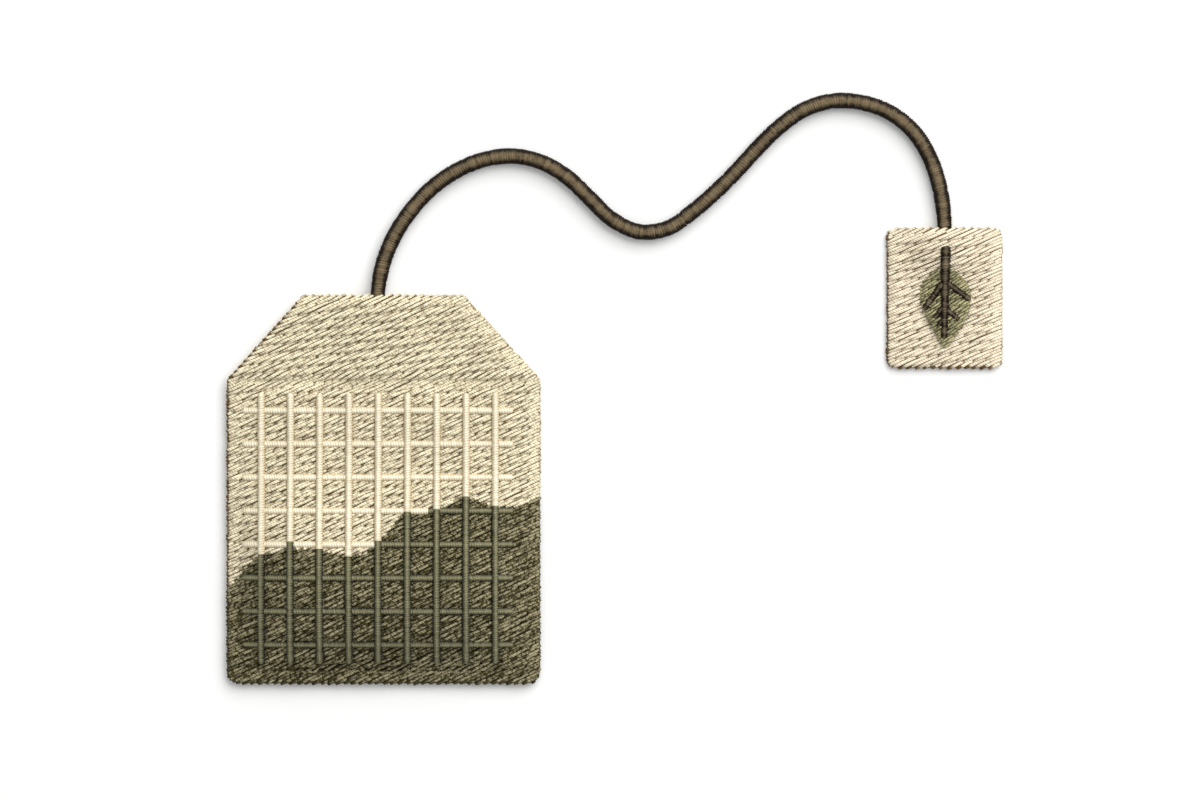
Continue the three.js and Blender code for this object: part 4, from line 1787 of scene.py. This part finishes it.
@dataclass
class Tag:
    """The folded cloth tag with its sewn leaf.

    Attributes:
        form: Its shape.
        slope: Its threads' direction from +X towards +Y.
        front_press, back_press: How much of their usual crown and thickness its threads have on each face.
        hem, hemmed: They keep this share of their crown over this width along its right side and head.
        hem_edge: The hem's form goes over into the free one between these shares of its width.
        under_leaf: They keep this share under the leaf.
        leaf_tip: The leaf's tip: how far above the tag's foot.
        leaf_dome, leaf_edge: How far the leaf's middle is padded up, and the square of its rim's share of it.
        leaf_middle, leaf_half: The padding's middle above the tip, and half its width and length.
        blade: The leaf's outline from its tip, in millimetres: the two ends and two handles of each curve.
        cords: The side veins and then the stem, in millimetres from the tip: each one's two ends, foot first,
            and its width at each.
        cord_lift, cord_rise: How far they lie over the cloth, and their height as a share of half the width.
    """

    form: TagForm
    slope: float = math.radians(21.5)
    front_press: tuple[float, float] = (0.8, 1.0)
    back_press: tuple[float, float] = (0.1, 0.7)
    hem: float = 1.0 * MM
    hemmed: float = 0.25
    hem_edge: tuple[float, float] = (0.9, 1.6)
    under_leaf: float = 0.2
    leaf_tip: float = 2.95 * MM
    leaf_dome: float = 0.8 * MM
    leaf_edge: float = 0.04
    leaf_middle: float = 6.8 * MM
    leaf_half: tuple[float, float] = (4.2 * MM, 7 * MM)
    blade: tuple[tuple[tuple[float, float], ...], ...] = (
        ((0, 0), (1.9, 2.2), (4.1, 5.2), (4.1, 8.6)),
        ((4.1, 8.6), (4.1, 10.6), (2.2, 12.3), (0.5, 13.2)),
        ((0.5, 13.2), (0.1, 13.3), (-0.3, 13.1), (-0.7, 12.85)),
        ((-0.7, 12.85), (-2.4, 12.1), (-3.9, 10.9), (-3.9, 9)),
        ((-3.9, 9), (-3.9, 6.2), (-1.8, 3), (0, 0)),
    )
    cords: tuple[tuple[tuple[float, float], tuple[float, float], float, float], ...] = (
        ((3.95, 7.9), (0.2, 10.7), 1.1, 1.25),
        ((-3.2, 6.4), (-0.3, 10.6), 1.15, 1.3),
        ((2.3, 4.7), (0.1, 6.6), 1.05, 1.1),
        ((-1.6, 4.9), (-0.3, 6.9), 1.0, 1.05),
        ((-1.2, 3.3), (-0.5, 4.6), 0.8, 0.8),
        ((-0.1, 1.8), (0.15, 16.5), 1.3, 1.85),
    )
    cord_lift: float = 0.35 * MM
    cord_rise: float = 0.95

    def build(self) -> list[Object]:
        """Makes every piece of the tag and hides the CAD piece each stands for.

        Returns:
            The pieces.
        """
        thread = TAG_THREAD.material()
        cloth = [self._ground(), *(self._fill(side, thread) for side in Side)]
        stand_for(cloth, "tag")
        blade, stem = self._blade(), self._stem()
        stand_for([blade], "leaf_blade")
        stand_for([stem], "leaf_stem")
        return [*cloth, blade, stem]

    def _ground(self) -> Object:
        """Makes the tag's ground cloth.

        Returns:
            The piece.
        """
        form = self.form
        share, y = np.meshgrid(2 * crowded(25) - 1, mix(form.foot, form.head, crowded(31)))
        points, quads = form.plate(form.middle + share * form.half_width(y), y)
        dry = np.zeros(len(points))
        return mesh_object("tag_ground_cloth", points, [quads], {"stain": dry}, TAG_GROUND.material())

    def _fill(self, side: Side, material: Material) -> Object:
        """Covers one face of the tag with threads.

        Args:
            side: Which face.
            material: The threads' finish.

        Returns:
            The piece.
        """
        form = self.form
        strands = Strands(Section.HALF_ROUND)
        crown, thickness = self.front_press if side is Side.FRONT else self.back_press
        stitch = FillStitch(
            angle=self.slope,
            crown=FillStitch.crown * crown,
            thickness=FillStitch.thickness * thickness,
            seed=51 + side.value,
        )
        covers, shade = partial(form.within, 0.0), partial(form.ends, self.hem)
        stitch.sew(strands, form.skin(side), form.box, covers, loose=self._loose, shade=shade)
        return strands.build(f"tag_{side.name.lower()}_threads", material)

    def _loose(self, x: Array, y: Array) -> Array:
        """Finds how much of their crown threads have under the leaf, and in the hems.

        Args:
            x, y: The places.

        Returns:
            A share of their crown.
        """
        under = mix(self.under_leaf, 1, ease(self._from_leaf(x, y), 0.8, 1.1))
        hem = np.where(x > self.form.middle, self.form.right - x, 2 * self.hem)
        hem = np.minimum(hem, self.form.head - y)
        start, end = (share * self.hem for share in self.hem_edge)
        return np.minimum(under, mix(self.hemmed, 1, ease(hem, start, end)))

    @property
    def _tip(self) -> Array:
        """The leaf tip's place on the tag."""
        return np.array([self.form.middle, self.form.foot + self.leaf_tip])

    def _from_leaf(self, x: Array, y: Array) -> Array:
        """Returns how far out from the leaf's middle each place is: about 1 at its outline."""
        wide, long = self.leaf_half
        return np.hypot((y - self._tip[1] - self.leaf_middle) / long, (x - self._tip[0]) / wide)

    def _domed(self, x: Array, y: Array) -> Array:
        """Returns the height of the tag's front with a low padded dome under the leaf."""
        dome = np.sqrt(np.clip(1.15 - self._from_leaf(x, y) ** 2, self.leaf_edge, 1))
        return self.form.height(Side.FRONT, x, y) + self.leaf_dome * dome

    def _outline(self) -> Array:
        """Reads the blade's outline.

        Returns:
            Points in metres.
        """
        t = np.linspace(0, 1, 12, endpoint=False)[:, None]
        shares = [(1 - t) ** 3, 3 * (1 - t) ** 2 * t, 3 * (1 - t) * t**2, t**3]
        points = [sum(s * np.array(p) for s, p in zip(shares, curve, strict=True)) for curve in self.blade]
        return np.concatenate(points) * MM + self._tip

    def _blade(self) -> Object:
        """Covers the leaf's blade with green threads.

        Returns:
            The piece.
        """
        outline = self._outline()

        def covers(x: Array, y: Array) -> Array:
            """Finds places inside: a line to the right crosses the outline there an odd number of times.

            Args:
                x, y: The places.

            Returns:
                True for each place inside.
            """
            odd = nowhere(x, y)
            for (ax, ay), (bx, by) in zip(outline, np.roll(outline, -1, axis=0), strict=True):
                if ay != by:
                    crosses = (ay > y) != (by > y)
                    odd ^= crosses & (x < ax + (y - ay) * (bx - ax) / (by - ay))
            return odd

        strands = Strands(Section.HALF_ROUND)
        stitch = FillStitch(
            angle=math.radians(32),
            pitch=0.42 * MM,
            width=0.41 * MM,
            stitch=2.6 * MM,
            crown=0.25 * MM,
            ragged=0.07 * MM,
            slant=0.08 * MM,
            wander=0.03 * MM,
            spread=0.4,
            arch_shade=0.3,
            seed=61,
        )
        stitch.sew(strands, Skin(self._domed), (*outline.min(0), *outline.max(0)), covers, lift=0.1 * MM)
        return strands.build("leaf_blade_threads", LEAF_THREAD.material())

    def _stem(self) -> Object:
        """Makes the stem and its side veins as wrapped cords.

        Returns:
            The piece.
        """
        strands = Strands(Section.LOW_ARCH)
        skin = Skin(self._domed)
        for seed, (start, end, foot_width, head_width) in enumerate(self.cords, 71):
            low, high = (np.array(place) * MM + self._tip for place in (start, end))
            length = float(np.linalg.norm(high - low))
            wrapping = Wrapping(seed, groove=0.25, turn=0.45 * MM, uneven=0.06, spread=0.7)
            shares = wrapping.rings(length)
            x, y = (row[None] for row in mix(low, high, shares[:, None]).T)
            half_width = wrapping.swell(1, shares, length) * mix(foot_width, head_width, shares) * MM / 2
            path, up = skin.points(x, y, self.cord_lift), skin.normals(x, y)
            tints = wrapping.tints(1, shares)
            strands.add(path, up, half_width, self.cord_rise * half_width, tints, np.zeros_like(tints))
        return strands.build("leaf_stem_cords", STEM_THREAD.material())


# ---- The room ----


@dataclass
class Studio:
    """The pale floor, the soft lights and the camera that looks straight down.

    Attributes:
        view_centre: The place on the floor under the camera.
        view_width: The width of floor that the frame takes in.
        lens, sensor: The camera's focal length and its sensor's width, in millimetres.
        clip: The nearest and farthest that it sees.
        floor: Half the floor's side.
        key_from: The direction that the key light comes from: its bearing from +X and its height, in degrees.
        key_distance, key_size, key_power: Its distance, its side and its power in watts.
        sky: The strength of the white surround.
    """

    view_centre: tuple[float, float] = (34.6 * MM, 14.3 * MM)
    view_width: float = 192 * MM
    lens: float = 300.0
    sensor: float = 36.0
    clip: tuple[float, float] = (0.05, 10)
    floor: float = 3.0
    key_from: tuple[float, float] = (60.0, 40.0)
    key_distance: float = 0.9
    key_size: float = 1.1
    key_power: float = 11.4
    sky: float = 0.62

    def build(self) -> None:
        """Makes the camera, the floor, the light and the surround."""
        scene = bpy.context.scene
        scene.view_settings.view_transform = "Standard"
        scene.camera = self._camera()
        corners = self.floor * np.array([[-1, -1, 0], [1, -1, 0], [1, 1, 0], [-1, 1, 0]])
        mesh_object("studio_floor", corners, [np.arange(4)[None]], {}, WHITE_BOARD.material())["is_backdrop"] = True
        self._key()
        scene.world = bpy.data.worlds.new("White surround")
        scene.world.use_nodes = True
        surround = scene.world.node_tree.nodes["Background"].inputs
        surround["Color"].default_value = linear("#ffffff")
        surround["Strength"].default_value = self.sky

    def _camera(self) -> Object:
        """Makes the camera.

        Returns:
            The camera.
        """
        data = bpy.data.cameras.new("Overhead camera")
        data.lens, data.sensor_width = self.lens, self.sensor
        data.clip_start, data.clip_end = self.clip
        camera = bpy.data.objects.new("Overhead camera", data)
        camera.location = (*self.view_centre, self.view_width * self.lens / self.sensor)
        bpy.context.scene.collection.objects.link(camera)
        return camera

    def _key(self) -> None:
        """Makes the key light."""
        bearing, height = (math.radians(angle) for angle in self.key_from)
        flat = math.cos(height)
        way = Vector((math.cos(bearing) * flat, math.sin(bearing) * flat, math.sin(height)))
        data = bpy.data.lights.new("Soft key", "AREA")
        data.size, data.energy = self.key_size, self.key_power
        light = bpy.data.objects.new("Soft key", data)
        light.location = Vector((*self.view_centre, 0)) + way * self.key_distance
        light.rotation_euler = way.to_track_quat("Z", "Y").to_euler()
        bpy.context.scene.collection.objects.link(light)


def write_sizes(cad: Sequence[Vector]) -> None:
    """Gathers and rounds the CAD box and the dressed object's box, but writes nothing.

    Args:
        cad: The CAD box's lowest and highest corner.
    """
    boxes = {"cad": cad, "visual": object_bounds()}
    sizes = {name: [[round(float(v), 6) for v in corner] for corner in box] for name, box in boxes.items()}


def main() -> None:
    """Dresses the tea bag over its frame."""
    logging.basicConfig(level=logging.INFO, format="%(name)s: %(message)s")
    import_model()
    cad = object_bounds()
    Studio().build()
    pouch = Pouch(PouchForm.over("filter_bag"))
    label = Tag(TagForm.over("tag"))
    string = TeaString(pouch.form, label.form)
    cord, tag = string.build(), label.build()
    pieces = [cord, *pouch.build(), TeaHeap(pouch.form, pouch.tea_line).build(), *tag]
    for piece in pieces:
        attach(piece, "root")
        LOG.info("%s: %d faces", piece.name, len(piece.data.polygons))
    length = string.length()
    LOG.info("string length: %.1f mm", length / MM)
    string.line(300).tolist()
    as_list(tag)
    write_sizes(cad)


if __name__ == "__main__":
    main()
